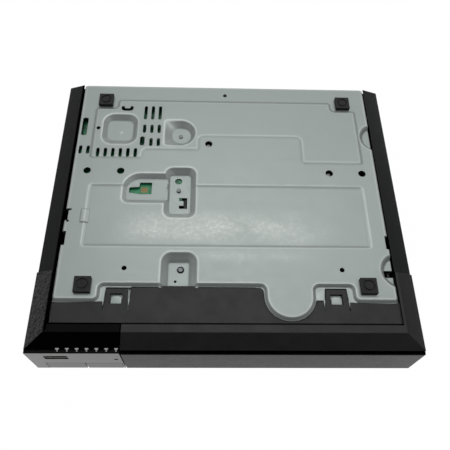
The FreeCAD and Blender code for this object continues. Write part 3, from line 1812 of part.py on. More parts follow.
def drive_belt():
    gap = s.running_gap.number
    height = (s.pulley_height - s.pulley_rim * 2).number - 2 * gap
    big = (s.pulley_radius - s.groove_depth).number + gap
    small = (s.motor_pulley_radius - s.groove_depth).number + gap
    thick = s.belt_thickness.number
    across = (pinion_x - s.motor_x).number
    along = (pinion_y - s.motor_y).number
    distance = math.hypot(across, along)
    belt = belt_loop(distance, big + thick, small + thick, height)
    belt = belt.cut(belt_loop(distance, big, small, height))
    belt.rotate(Vector(), Vector(0, 0, 1), math.degrees(math.atan2(along, across)))
    node("drive_belt", feature(belt, s.motor_x, s.motor_y, pulley_bottom + s.pulley_rim + s.running_gap))


def loader_board():
    node("loader_board", block((s.loader_board_x, s.loader_board_x + s.loader_board_length),
                               (s.base_front + s.loader_board_gap, s.slider_front - s.loader_board_back),
                               (deck_bottom - s.board_thickness, deck_bottom)))


def disc_tray():
    centre = s.drive_centre, s.disc_centre
    half = tray_half
    front = bay_wall + s.jack_gap
    x = span(s.drive_centre, half)
    y = front, tray_back
    skirt = s.guide_width - s.running_gap * 2
    rim = s.disc_radius + s.base_wall
    floor = s.small_disc_level - s.tray_floor
    body = block(x, y, (s.tray_bottom, s.tray_top))
    inside = grown(x, -skirt)
    hollow = block(inside, grown(y, -s.plastic_wall), (s.tray_bottom - s.fit_gap, s.tray_top - s.base_wall))
    keep = fuse(rod("z", centre, (s.tray_bottom - s.fit_gap, s.tray_top), rim),
                block(span(s.drive_centre, s.tray_slot_half + s.base_wall), y,
                      (s.tray_bottom - s.fit_gap, s.tray_top)))
    removed = [
        cut(hollow, keep),
        block(inside, grown(y, -s.plastic_wall), (s.tray_bottom - s.fit_gap, floor)),
        rod("z", centre, (s.disc_level, s.tray_top + s.fit_gap), s.disc_radius),
        rod("z", centre, (s.small_disc_level, s.tray_top + s.fit_gap), s.small_disc_radius),
        block(span(s.drive_centre, s.tray_slot_half), (s.disc_centre - s.tray_slot_front, far),
              (low, s.tray_top + s.fit_gap)),
    ]
    rack = feature(rack_solid((tray_back - s.gear_y - s.plastic_wall).number,
                              (floor - rack_bottom + s.fit_gap).number),
                   s.rack_line, s.gear_y, rack_bottom)
    neck = block(span(s.drive_centre, half - s.neck_inset), (s.plastic_wall, front + s.plastic_wall),
                 (s.tray_bottom, s.upstand_top))
    node("disc_tray", fuse(cut(body, *removed), rack, neck))


def clamp_bridge():
    y = span(s.disc_centre, s.bridge_half_depth)
    outer = base_half + s.boss_radius * 2 + s.fit_gap
    sheet_thickness = s.sheet_steel
    plate = block(span(s.drive_centre, base_half), y,
                  (s.bridge_bottom, s.bridge_bottom + sheet_thickness))
    legs = []
    for stretch in across_drive(base_half - sheet_thickness, base_half):
        legs.append(block(stretch, y, (s.base_top, s.bridge_bottom + sheet_thickness)))
    for stretch in across_drive(base_half - s.base_wall, outer):
        legs.append(block(stretch, y, (s.base_top, s.base_top + sheet_thickness)))
    holes = [rod("z", at, (s.base_top, s.base_top + sheet_thickness), s.small_shank)
             for at in bridge_screw_places()]
    holes.append(rod("z", (s.drive_centre, s.disc_centre),
                     (s.bridge_bottom - s.fit_gap, s.bridge_bottom + sheet_thickness * 2), s.bridge_hole))
    node("clamp_bridge", cut(fuse(plate, *legs), *holes))
    screws = []
    for at in bridge_screw_places():
        top = s.base_top + sheet_thickness
        shank = rod("z", at, (s.base_top - s.screw_length + s.fit_gap, top), s.small_shank)
        screws.append(fuse(shank, rod("z", at, (top, top + s.screw_head_height), s.small_head)))
    node("bridge_screws", group(*screws))


def clamper():
    at = s.drive_centre, s.disc_centre
    flange = s.bridge_bottom + s.sheet_steel + s.running_gap
    top = flange + s.clamper_flange_height
    body = rod("z", at, (s.clamper_bottom, top), s.clamper_radius)
    wide = rod("z", at, (flange, top), s.clamper_flange)
    room = rod("z", at, (s.clamper_bottom, s.hub_top + s.fit_gap * 2), s.hub_radius + s.clamper_gap)
    hollow = ring("z", at, (s.clamper_bottom + s.plastic_wall * 2, top),
                  s.clamper_radius - s.base_wall, s.hub_radius + s.clamper_gap + s.base_wall)
    node("clamper", cut(fuse(body, wide), room, hollow))
    node("clamper_yoke", rod("z", at, (top, top + s.sheet_steel), s.clamper_radius - s.fit_gap))


def cam_slider():
    x = span(s.drive_centre, s.slider_half_length)
    top = s.deck_top + s.running_gap + s.deck_thickness
    plate = block(x, (s.slider_front, s.slider_back), (s.slider_bottom, top))
    flange = block(x, (s.slider_front - s.slider_flange, s.slider_back), (s.deck_top + s.running_gap, top))
    half = s.pin_radius + s.pin_gap
    y = s.slider_front - s.fit_gap, s.slider_back + s.fit_gap
    start = s.drive_centre, s.pin_height
    end = s.drive_centre - s.slider_travel, s.pin_height - s.pin_drop
    slope = half + s.running_gap
    band = prism("y", [(start[0], start[1] - slope), (start[0], start[1] + slope),
                       (end[0], end[1] + slope), (end[0], end[1] - slope)], y)
    node("cam_slider", cut(fuse(plate, flange), band, rod("y", start, y, half), rod("y", end, y, half)))


def rod_blocks():
    """The stretches along Y of the blocks that hold the guide rods."""
    return (s.rod_front, s.rod_front + s.rod_block), (rod_back - s.rod_block, rod_back)


def traverse_frame():
    z = s.traverse_bottom, s.traverse_top
    y = s.traverse_front, s.traverse_back
    plate = block(span(s.drive_centre, s.traverse_half_width), y, z)
    screw_x = s.drive_centre - s.screw_offset
    block_z = s.traverse_top - s.fit_gap, s.rod_level + s.rod_radius + s.sheet_steel
    added = []
    bores = []
    for block_y in rod_blocks():
        for sign in (-1, 1):
            x = s.drive_centre + sign * s.rod_spread
            added.append(block(span(x, s.rod_radius * 2), block_y, block_z))
            bores.append(rod("y", (x, s.rod_level), block_y, s.rod_radius))
    added.append(block(span(screw_x, s.rod_radius * 2), rod_blocks()[1], block_z))
    bores.append(rod("y", (screw_x, s.rod_level), rod_blocks()[1], s.lead_radius + s.running_gap))
    for stretch in across_drive(s.traverse_half_width - s.lug_width, s.traverse_half_width):
        added.append(block(stretch, (s.pivot_y - s.bush_radius, s.traverse_back),
                           (s.traverse_bottom, s.pivot_z + s.pivot_radius + s.fit_gap)))
    bush_end = s.traverse_half_width + s.bush_width + s.bush_side_gap
    for stretch in across_drive(s.traverse_half_width - s.bush_side_gap, bush_end):
        added.append(rod("x", (s.pivot_y, s.pivot_z), stretch, s.pivot_radius))
    lug_y = s.traverse_front, s.traverse_front + s.lug_width
    added.append(block(span(s.drive_centre, s.pin_radius * 2), lug_y,
                       (s.traverse_bottom, s.pin_height + s.pin_radius + s.fit_gap)))
    added.append(rod("y", (s.drive_centre, s.pin_height), (s.slider_front, s.traverse_front + s.fit_gap),
                     s.pin_radius))
    window = block(span(s.drive_centre, s.sled_half_width), (s.rod_front + s.rod_block + s.fit_gap,
                                                             rod_back - s.rod_block - s.fit_gap), z)
    nest = block(span(screw_x, s.sled_motor_radius),
                 (s.rod_front - s.sled_motor_length - s.fit_gap, s.rod_front), z)
    spindle = rod("z", (s.drive_centre, s.disc_centre), z, s.spindle_shaft * 2)
    node("traverse_frame", cut(fuse(plate, *added), window, nest, spindle, *bores))


def pivot_bushes():
    bushes = []
    for stretch in bush_places():
        bushes.append(ring("x", (s.pivot_y, s.pivot_z), stretch, s.bush_radius,
                           s.pivot_radius + s.running_gap))
    node("pivot_bushes", group(*bushes))


def spindle():
    at = s.drive_centre, s.disc_centre
    base_top = s.traverse_top + s.spindle_base_height
    shaft_bottom = s.traverse_top + s.fit_gap
    base = rod("z", at, (s.traverse_top, base_top), s.spindle_base_radius)
    bore = rod("z", at, (shaft_bottom, base_top), s.spindle_shaft + s.running_gap)
    node("spindle_base", cut(base, bore))
    turntable_bottom = s.seat_level - s.turntable_thickness
    rotor = [
        rod("z", at, (base_top + s.fit_gap, s.rotor_top), s.rotor_radius),
        rod("z", at, (shaft_bottom, s.rotor_top), s.spindle_shaft),
        rod("z", at, (s.rotor_top - s.fit_gap, turntable_bottom), s.spindle_shaft * 2),
    ]
    node("spindle_rotor", fuse(*rotor))
    disc = rod("z", at, (turntable_bottom, s.seat_level), s.turntable_radius)
    hub = cone(at, (s.seat_level - s.fit_gap, s.hub_top), s.hub_radius, s.hub_radius - s.hub_taper)
    node("turntable", fuse(disc, hub))


def pickup():
    rods = []
    y = s.rod_front - s.fit_gap, rod_back + s.fit_gap
    for sign in (-1, 1):
        rods.append(rod("y", (s.drive_centre + sign * s.rod_spread, s.rod_level), y, s.rod_radius))
    node("guide_rods", group(*rods))
    screw_x = s.drive_centre - s.screw_offset
    x = span(s.drive_centre, s.sled_half_width)
    sled_y = s.sled_front, s.sled_front + s.sled_length
    body = block(x, sled_y, (s.sled_bottom, s.sled_top))
    arm = block((screw_x - s.rod_radius * 2, x[0] + s.fit_gap), span(s.sled_front + s.sled_length / 2, s.nut_half),
                (s.sled_bottom, s.rod_level + s.rod_radius * 2))
    wide = grown(sled_y, s.fit_gap)
    gap = s.running_gap
    bores = [rod("y", (s.drive_centre + sign * s.rod_spread, s.rod_level), wide, s.rod_radius + gap)
             for sign in (-1, 1)]
    bores.append(rod("y", (screw_x, s.rod_level), wide, s.lead_radius + gap))
    half = s.lens_holder_half
    room = half + s.lens_room
    bores.append(block(span(s.drive_centre, room), (s.lens_y - room, s.lens_y + room + s.wire_length),
                       (s.holder_bottom - s.lens_room, s.sled_top + s.fit_gap)))
    node("pickup_sled", cut(fuse(body, arm), *bores))
    holder_top = s.sled_top + s.lens_room
    holder = block(span(s.drive_centre, half), span(s.lens_y, half), (s.holder_bottom, holder_top))
    seat = rod("z", (s.drive_centre, s.lens_y), (holder_top - s.lens_seat, holder_top), s.lens_radius)
    wires = [rod("y", (s.drive_centre + sign * (half - s.fit_gap), (s.holder_bottom + s.sled_top) / 2),
                 (s.lens_y + half - s.fit_gap, s.lens_y + room + s.wire_length), s.wire_radius)
             for sign in (-1, 1)]
    node("lens_holder", fuse(cut(holder, seat), *wires))
    lens = [
        rod("z", (s.drive_centre, s.lens_y), (holder_top - s.lens_seat, holder_top), s.lens_radius),
        cone((s.drive_centre, s.lens_y), (holder_top, holder_top + s.lens_dome), s.lens_radius,
             s.lens_radius / 2),
    ]
    node("objective_lens", fuse(*lens))


def sled_drive():
    screw_x = s.drive_centre - s.screw_offset
    centre = screw_x, s.rod_level
    can = rod("y", centre, (s.rod_front - s.sled_motor_length, s.rod_front), s.sled_motor_radius)
    plate = block(span(screw_x, s.sled_motor_radius + s.running_gap), (s.rod_front, s.rod_front + s.sheet_steel),
                  (s.traverse_top, s.rod_level + s.sled_motor_radius))
    node("sled_motor", fuse(can, plate))
    node("lead_screw", rod("y", centre, (s.rod_front + s.sheet_steel + s.running_gap, rod_back),
                           s.lead_radius))


def write_parts():
    """Checks every object and every sub-part, then writes one STEP file for each sub-part."""
    doc.recompute()
    for obj in doc.Objects:
        if "Invalid" in obj.State or "Error" in obj.State:
            raise SystemExit("%s (%s) failed: %s" % (obj.Name, obj.Label, obj.State))
    for obj in nodes:
        if obj.Shape.isNull() or not obj.Shape.isValid():
            raise SystemExit("%s has no valid shape" % obj.Label)
    os.makedirs("parts", exist_ok=True)
    for obj in nodes:
        obj.Shape.exportStep("parts/%s.step" % obj.Label)
        print(obj.Label, len(obj.Shape.Solids), round(obj.Shape.Volume, 1))


for build in (
    top_cover, rear_screws, rear_panel, bottom_chassis, front_bezel, gloss_panel, side_trim, tray_door,
    feet, keys, front_board, front_board_parts, main_board, processor, board_parts, ribbons, sockets,
    loader_base, loader_screw, loading_gear, pulley_gear, loading_motor, drive_belt, loader_board,
    disc_tray, clamp_bridge, clamper, cam_slider, traverse_frame, pivot_bushes, spindle, pickup,
    sled_drive,
):
    build()
write_parts()
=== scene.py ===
"""The looks of a compact disc player: materials, printed marks, fine pieces, light and camera.

Lengths are metres, and millimetres where a name or a comment says so. +X is the player's right seen from the
front, -Y its front and +Z up. The camera looks up at the underside, as the photographed player lies upside down on
a table.
"""

import json
import math

import bmesh
import bpy
import numpy as np
from mathutils import Matrix, Vector
from mathutils.geometry import delaunay_2d_cdt


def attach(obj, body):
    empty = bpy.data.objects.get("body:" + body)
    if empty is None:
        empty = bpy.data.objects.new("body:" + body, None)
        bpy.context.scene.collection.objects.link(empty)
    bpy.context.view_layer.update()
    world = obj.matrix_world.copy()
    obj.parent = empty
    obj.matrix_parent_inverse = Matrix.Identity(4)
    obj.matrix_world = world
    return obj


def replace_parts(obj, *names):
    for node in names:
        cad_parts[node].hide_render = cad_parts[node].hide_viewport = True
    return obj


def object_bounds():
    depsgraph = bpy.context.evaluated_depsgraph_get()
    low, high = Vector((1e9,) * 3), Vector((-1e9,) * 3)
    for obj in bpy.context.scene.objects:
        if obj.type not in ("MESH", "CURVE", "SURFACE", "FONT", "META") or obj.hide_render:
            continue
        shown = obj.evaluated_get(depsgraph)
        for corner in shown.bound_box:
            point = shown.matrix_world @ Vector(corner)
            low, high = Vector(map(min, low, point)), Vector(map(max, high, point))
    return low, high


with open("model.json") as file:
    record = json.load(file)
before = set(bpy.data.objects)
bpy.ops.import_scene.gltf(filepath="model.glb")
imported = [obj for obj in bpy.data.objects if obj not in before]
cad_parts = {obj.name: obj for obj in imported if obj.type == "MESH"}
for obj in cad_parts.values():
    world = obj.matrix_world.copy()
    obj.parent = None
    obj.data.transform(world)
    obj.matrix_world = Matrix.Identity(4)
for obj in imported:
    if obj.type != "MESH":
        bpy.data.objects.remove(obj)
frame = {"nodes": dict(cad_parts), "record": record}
cad_low, cad_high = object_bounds()
MM = 0.001
FRONT_MM = cad_low.y / MM

# The camera, fitted to the casing's edges and the feet
LENS_MM = 42.926
SENSOR_MM = 36.0
CAMERA_PLACE = Vector((11.16, -184.35, -295.43)) * MM
CAMERA_ELEVATION = 60.772
CAMERA_YAW = 3.608
CAMERA_ROLL = 3.694

# Stage and light
STAGE_SIZE = 12.0
FLOOR_REACH = 0.03
FLOOR_GLOW = 0.92
TABLE_GLOW = 1.0
STAGE_MIRROR = 0.7
LAMP_SIZE = 1.2
UPPER_LAMPS = ((0.8, -0.6, 1.1), (-0.8, -0.6, 1.1))
UPPER_LAMP_POWER = 9.0
LOWER_LAMP = (-0.1, 0.5, -1.1)
LOWER_LAMP_POWER = 4.4
STREAK_LAMP = (-0.03, 0.52, -1.1)
STREAK_LAMP_POWER = 0.5
STREAK_LAMP_SIZE = 0.5
WORLD_BELOW = Vector((0, 0.25, -1))
WORLD_ABOVE = Vector((0, -0.2, 1))
WORLD_SPREAD = (0.1, 0.95)
BELOW_LEVEL = 0.55
ABOVE_LEVEL = 0.7
HORIZON_LEVEL = 0.14
DARK_LEVEL = 0.06
DARK_SPREAD = (0.8, 0.95)

# What all the surfaces share
EDGE_RADIUS = 0.35 * MM
NOISE_MIDDLE = (0.3, 0.7)
NO_MIRROR_IOR = 1.02
SOFT_END = 0.15

# Marks and shades on the front pieces: X, Y from the front edge and Z, in millimetres
RAIL_SHADE_X = (103.0, 104.7)
RAIL_SHADE_Z = (0.0, 5.0)
RAIL_SHADE_SOFT = 0.4
GROOVE_SHADE_Y = (0.0, 4.0)
GROOVE_SHADE_Z = (6.5, 8.2)
DOOR_SHADE_Z = (0.0, 9.5)
DOOR_LINE_Z = (8.0, 8.7)
LINE_SOFT = 0.1
TICK_FIRST = 96.1
TICK_PITCH = 5.53
TICK_COUNT = 7
TICK_Z = (0.0, 7.5)
TICK_BAR = ((-1.0, 1.0), (2.2, 2.8))
TICK_STEM = ((-1.0, 0.4), (1.2, 2.4))
TICK_STRENGTH = 0.9
GLOSS_LOW_IOR = 1.12
GLOSS_FRONT_IOR = 1.75

# Painted highlight bands on the bottom plate, and the painted light and the pads on the main board behind its
# window: X and Y from the front edge, in millimetres
HIGHLIGHT_BAND = ((-58.0, 58.0), (72.0, 86.0))
HIGHLIGHT_SOFT = (16.0, 8.0)
GLINT_BAND = ((-46.0, 12.0), (57.0, 62.5))
GLINT_SOFT = (14.0, 2.5)
WINDOW_LIGHT_FIELD = ((46.0, 66.0), (103.0, 117.0))
WINDOW_LIGHT_SOFT = (1.0, 1.0)
PAD_FIELD = ((51.8, 56.2), (108.0, 112.0))


def linear(code):
    """A colour written as six hexadecimal digits, as linear light."""
    parts = [int(code[i:i + 2], 16) / 255 for i in (0, 2, 4)]
    return [p / 12.92 if p <= 0.04045 else ((p + 0.055) / 1.055) ** 2.4 for p in parts] + [1.0]


class Graph:
    """A node tree, with one call for each kind of node that the looks use."""

    def __init__(self, tree):
        self.tree = tree
        tree.nodes.clear()

    def add(self, kind, inputs=None, **settings):
        """A new node with its settings, and its inputs by name."""
        node = self.tree.nodes.new(kind)
        for name, value in settings.items():
            setattr(node, name, value)
        for name, value in (inputs or {}).items():
            self.feed(node.inputs[name], value)
        return node

    def feed(self, socket, value):
        """Links an output to a socket, or writes a plain value on it."""
        if isinstance(value, bpy.types.NodeSocket):
            self.tree.links.new(value, socket)
        else:
            socket.default_value = value

    def show(self, shader, kind="ShaderNodeOutputMaterial"):
        """Makes a shader the tree's result."""
        self.feed(self.add(kind).inputs["Surface"], shader.outputs[0])

    def math(self, operation, *values, clamp=False):
        """The result of a Math node."""
        node = self.add("ShaderNodeMath", operation=operation, use_clamp=clamp)
        for socket, value in zip(node.inputs, values):
            self.feed(socket, value)
        return node.outputs[0]

    def place(self, scale=(1, 1, 1)):
        """Object coordinates, stretched."""
        where = self.add("ShaderNodeTexCoord").outputs["Object"]
        return self.add("ShaderNodeMapping", {"Vector": where, "Scale": scale}).outputs[0]

    def noise(self, size, detail=2.0, roughness=0.5, stretch=(1, 1, 1)):
        """Noise from 0 to 1 whose lumps are about one size across."""
        inputs = {"Vector": self.place(stretch), "Scale": 1 / size, "Detail": detail, "Roughness": roughness}
        return self.add("ShaderNodeTexNoise", inputs).outputs["Fac"]

    def cells(self, size, feature="F1", output="Distance"):
        """A cell pattern whose cells are about one size across."""
        inputs = {"Vector": self.place(), "Scale": 1 / size}
        return self.add("ShaderNodeTexVoronoi", inputs, feature=feature).outputs[output]

    def remap(self, value, low, high, from_low=0.0, from_high=1.0):
        """The value's range from_low to from_high, spread over low to high and held there beyond it."""
        node = self.add("ShaderNodeMapRange", {"Value": value, "From Min": from_low, "From Max": from_high,
                                               "To Min": low, "To Max": high})
        return node.outputs[0]

    def mix(self, factor, first, second):
        """The first colour where the factor is 0, the second where it is 1."""
        node = self.add("ShaderNodeMix", data_type="RGBA")
        self.feed(node.inputs["Factor"], factor)
        self.feed(node.inputs[6], first)
        self.feed(node.inputs[7], second)
        return node.outputs[2]

    def blend(self, factor, first, second):
        """The first shader where the factor is 0, the second where it is 1."""
        node = self.add("ShaderNodeMixShader", {"Fac": factor})
        self.feed(node.inputs[1], first.outputs[0])
        self.feed(node.inputs[2], second.outputs[0])
        return node

    def along(self, direction, axis):
        """How far a direction points along an axis, from -1 to 1."""
        node = self.add("ShaderNodeVectorMath", operation="DOT_PRODUCT")
        self.feed(node.inputs[0], direction)
        self.feed(node.inputs[1], axis)
        return node.outputs["Value"]

    def edges(self, radius):
        """How near a point is to a convex edge or corner, and the rounded normal there."""
        normal = self.add("ShaderNodeBevel", {"Radius": radius}, samples=4).outputs[0]
        flat = self.add("ShaderNodeNewGeometry").outputs["Normal"]
        return self.remap(self.along(normal, flat), 1.0, 0.0, 0.8, 1.0), normal

    def bumped(self, strength, distance, height, normal):
        """The normal, tilted by the slopes of a height."""
        return self.add("ShaderNodeBump", {"Strength": strength, "Distance": distance, "Height": height,
                                           "Normal": normal}).outputs[0]


def new_look(name):
    """An empty node material, and its graph."""
    made = bpy.data.materials.new(name)
    made.use_nodes = True
    return made, Graph(made.node_tree)


def shaded(colour, vary):
    """A colour a little darker and a little lighter."""
    value = linear(colour)[:3]
    return [c * (1 - vary) for c in value] + [1.0], [min(1.0, c * (1 + vary)) for c in value] + [1.0]


def surface(name, colour, roughness, metallic=0.0, specular=0.5, ior=1.5, vary=0.1, vary_size=0.02,
            grain=0.0, grain_size=0.0006, stretch=(1, 1, 1), wear=0.0, wear_colour="808080",
            spread=0.06, edge=EDGE_RADIUS, changed=None):
    """A solid surface: soft changes of tone, uneven gloss, a fine grain and lightly worn edges."""
    made, g = new_look(name)
    darker, lighter = shaded(colour, vary)
    tone = g.mix(g.noise(vary_size, 4.0, 0.6, stretch), darker, lighter)
    near_edge, normal = g.edges(edge)
    if wear:
        patches = g.remap(g.noise(vary_size / 3, 3.0, 0.7), 0.0, wear, 0.42, 0.62)
        tone = g.mix(g.math("MULTIPLY", near_edge, patches, clamp=True), tone, linear(wear_colour))
    if changed:
        tone, ior = changed(g, tone, ior)
    smudges = g.noise(vary_size / 2, 5.0, 0.65, stretch)
    gloss = g.remap(smudges, roughness - spread, roughness + spread, *NOISE_MIDDLE)
    if grain:
        normal = g.bumped(grain, grain_size, g.noise(grain_size, 2.0, 0.5, stretch), normal)
    g.show(g.add("ShaderNodeBsdfPrincipled", {
        "Base Color": tone, "Roughness": gloss, "Metallic": metallic, "Specular IOR Level": specular,
        "IOR": ior, "Normal": normal,
    }))
    return made


def between(g, value, span, soft=SOFT_END):
    """1 where a value in millimetres lies inside a span, with soft ends."""
    low, high = span
    up = g.remap(value, 0.0, 1.0, low - soft, low + soft)
    down = g.remap(value, 1.0, 0.0, high - soft, high + soft)
    return g.math("MULTIPLY", up, down)


def in_field(g, x, y, field, soft=(SOFT_END, SOFT_END)):
    """1 inside a rectangle given as two spans in millimetres, with soft edges."""
    return g.math("MULTIPLY", between(g, x, field[0], soft[0]), between(g, y, field[1], soft[1]))


def object_axes(g):
    """X, Y from the front edge and Z, in millimetres."""
    where = g.add("ShaderNodeTexCoord").outputs["Object"]
    split = g.add("ShaderNodeSeparateXYZ", {"Vector": where})
    x, y, z = (g.math("DIVIDE", split.outputs[axis], MM) for axis in "XYZ")
    return x, g.math("SUBTRACT", y, FRONT_MM), z


def in_shade(g, near, tone, ior, colour):
    """A tone that is dark and an IOR that mirrors nothing where near is 1."""
    return g.mix(near, tone, linear(colour)), g.remap(near, ior, NO_MIRROR_IOR)


def shaded_rail(g, tone, ior):
    """The inner edge of the right rail lies in the dark beside the plate."""
    x, _, z = object_axes(g)
    near = in_field(g, x, z, (RAIL_SHADE_X, RAIL_SHADE_Z), (RAIL_SHADE_SOFT, SOFT_END))
    return in_shade(g, near, tone, ior, "040404")


def groove_shade(g, tone, ior):
    """Painted shade in the groove along the widest line of the front, dark and mirroring nothing."""
    _, y, z = object_axes(g)
    near = in_field(g, z, y, (GROOVE_SHADE_Z, GROOVE_SHADE_Y), (LINE_SOFT, SOFT_END))
    return in_shade(g, near, tone, ior, "020202")


def shaded_foot(g, tone, ior):
    """The door's lower edge lies in the dark of that groove and catches one thin line of light."""
    _, _, z = object_axes(g)
    tone, ior = in_shade(g, between(g, z, DOOR_SHADE_Z, LINE_SOFT), tone, ior, "040404")
    return g.mix(between(g, z, DOOR_LINE_Z, LINE_SOFT), tone, linear("303131")), ior


def ticked_facet(g, tone, ior):
    """A row of small light ticks along the gloss panel's widest line; only its front face mirrors strongly."""
    x, y, z = object_axes(g)
    turn = g.math("DIVIDE", g.math("SUBTRACT", TICK_FIRST, x), TICK_PITCH)
    from_middle = g.math("SUBTRACT", turn, g.math("ROUND", turn))
    offset = g.math("ABSOLUTE", g.math("MULTIPLY", from_middle, TICK_PITCH))
    row = g.math("MULTIPLY", between(g, turn, (-0.4, TICK_COUNT - 0.6), 0.05), between(g, z, TICK_Z))
    tick = g.math("MAXIMUM", in_field(g, offset, y, TICK_BAR), in_field(g, offset, y, TICK_STEM))
    marks = g.math("MULTIPLY", g.math("MULTIPLY", tick, row), TICK_STRENGTH)
    facing = g.along(g.add("ShaderNodeNewGeometry").outputs["True Normal"], Vector((0, -1, 0)))
    ior = g.remap(facing, GLOSS_LOW_IOR, GLOSS_FRONT_IOR, 0.85, 0.95)
    return g.mix(marks, tone, linear("e4e6e6")), ior


def plate_steel():
    """Zinc-coated sheet: spangle and rolling streaks, painted highlights on the pressed rims, painted shade in the
    inner bends, painted edge highlights and one painted, speckled highlight band.
    """
    made, g = new_look("zinc_sheet")
    spangle = g.add("ShaderNodeRGBToBW", {"Color": g.cells(0.0032, output="Color")}).outputs[0]
    streaks = g.noise(0.0016, 4.0, 0.7, (0.06, 1, 1))
    clouds = g.noise(0.07, 3.0, 0.5)
    mixed = g.math("ADD", g.math("MULTIPLY", spangle, 0.25), g.math("MULTIPLY", streaks, 0.4))
    mixed = g.math("ADD", mixed, g.math("MULTIPLY", clouds, 0.35), clamp=True)
    tone = g.mix(mixed, *shaded("a2aba8", 0.06))
    # Painted highlights on the outer bends and painted shade in the inner bends, read from the rim attribute
    rim = g.add("ShaderNodeAttribute", attribute_name="rim").outputs["Fac"]
    tone = g.mix(g.math("MULTIPLY", rim, 0.75, clamp=True), tone, linear("d9e0dd"))
    tone = g.mix(g.math("MULTIPLY", rim, -0.8, clamp=True), tone, linear("6f7977"))
    x, y, _ = object_axes(g)
    # A painted, speckled highlight band across the plate's middle, and a weaker painted glint in front of it
    glint = g.math("MULTIPLY", in_field(g, x, y, GLINT_BAND, GLINT_SOFT), 0.5)
    band = g.math("ADD", in_field(g, x, y, HIGHLIGHT_BAND, HIGHLIGHT_SOFT), glint)
    patches = g.remap(g.noise(0.02, 3.0, 0.6, (0.5, 1, 1)), 0.2, 1.0, 0.35, 0.65)
    speckle = g.remap(g.noise(0.002, 3.0, 0.7, (0.8, 1, 1)), 0.35, 1.0, 0.46, 0.74)
    painted_highlight = g.math("MULTIPLY", g.math("MULTIPLY", band, patches), g.math("MULTIPLY", speckle, 0.85))
    tone = g.mix(painted_highlight, tone, linear("f4f7f2"))
    near_edge, normal = g.edges(EDGE_RADIUS)
    # Painted highlight along the convex edges
    tone = g.mix(g.math("MULTIPLY", near_edge, 0.35), tone, linear("dde2e0"))
    gloss = g.remap(mixed, 0.34, 0.46, *NOISE_MIDDLE)
    normal = g.bumped(0.05, 0.0002, g.noise(0.0009, 3.0, 0.6, (0.12, 1, 1)), normal)
    g.show(g.add("ShaderNodeBsdfPrincipled", {"Base Color": tone, "Roughness": gloss, "Metallic": 0.45,
                                              "Normal": normal}))
    return made


def circuit_board():
    """Green solder mask over copper tracks, with vias, and painted light where the plate's window lets light onto
    it.
    """
    made, g = new_look("solder_mask")
    base = g.mix(g.noise(0.012, 4.0, 0.6), linear("063623"), linear("0f6a42"))
    on_track = g.remap(g.cells(0.0035, "DISTANCE_TO_EDGE"), 1.0, 0.0, 0.05, 0.09)
    base = g.mix(g.math("MULTIPLY", on_track, 0.6), base, linear("38a374"))
    vias = g.remap(g.cells(0.0045), 1.0, 0.0, 0.09, 0.12)
    base = g.mix(vias, base, linear("b9b08a"))
    x, y, _ = object_axes(g)
    # Painted light on the board under the plate's window
    shown = in_field(g, x, y, WINDOW_LIGHT_FIELD, WINDOW_LIGHT_SOFT)
    base = g.mix(g.math("MULTIPLY", shown, 0.55), base, linear("21a86c"))
    base = g.mix(in_field(g, x, y, PAD_FIELD), base, linear("94803f"))
    _, normal = g.edges(EDGE_RADIUS / 2)
    normal = g.bumped(0.4, 0.00008, on_track, normal)
    gloss = g.remap(g.noise(0.004, 3.0, 0.6), 0.22, 0.42)
    g.show(g.add("ShaderNodeBsdfPrincipled", {
        "Base Color": base, "Roughness": gloss, "Metallic": g.math("MULTIPLY", vias, 0.8), "Normal": normal,
    }))
    return made


def clear_look(name, tones, tone_size, roughness, ior, transmission):
    """A see-through material whose tone wanders a little between two."""
    made, g = new_look(name)
    tone = g.mix(g.noise(tone_size), *(linear(colour) for colour in tones))
    g.show(g.add("ShaderNodeBsdfPrincipled", {
        "Base Color": tone, "Roughness": roughness, "IOR": ior, "Transmission Weight": transmission,
    }))
    return made


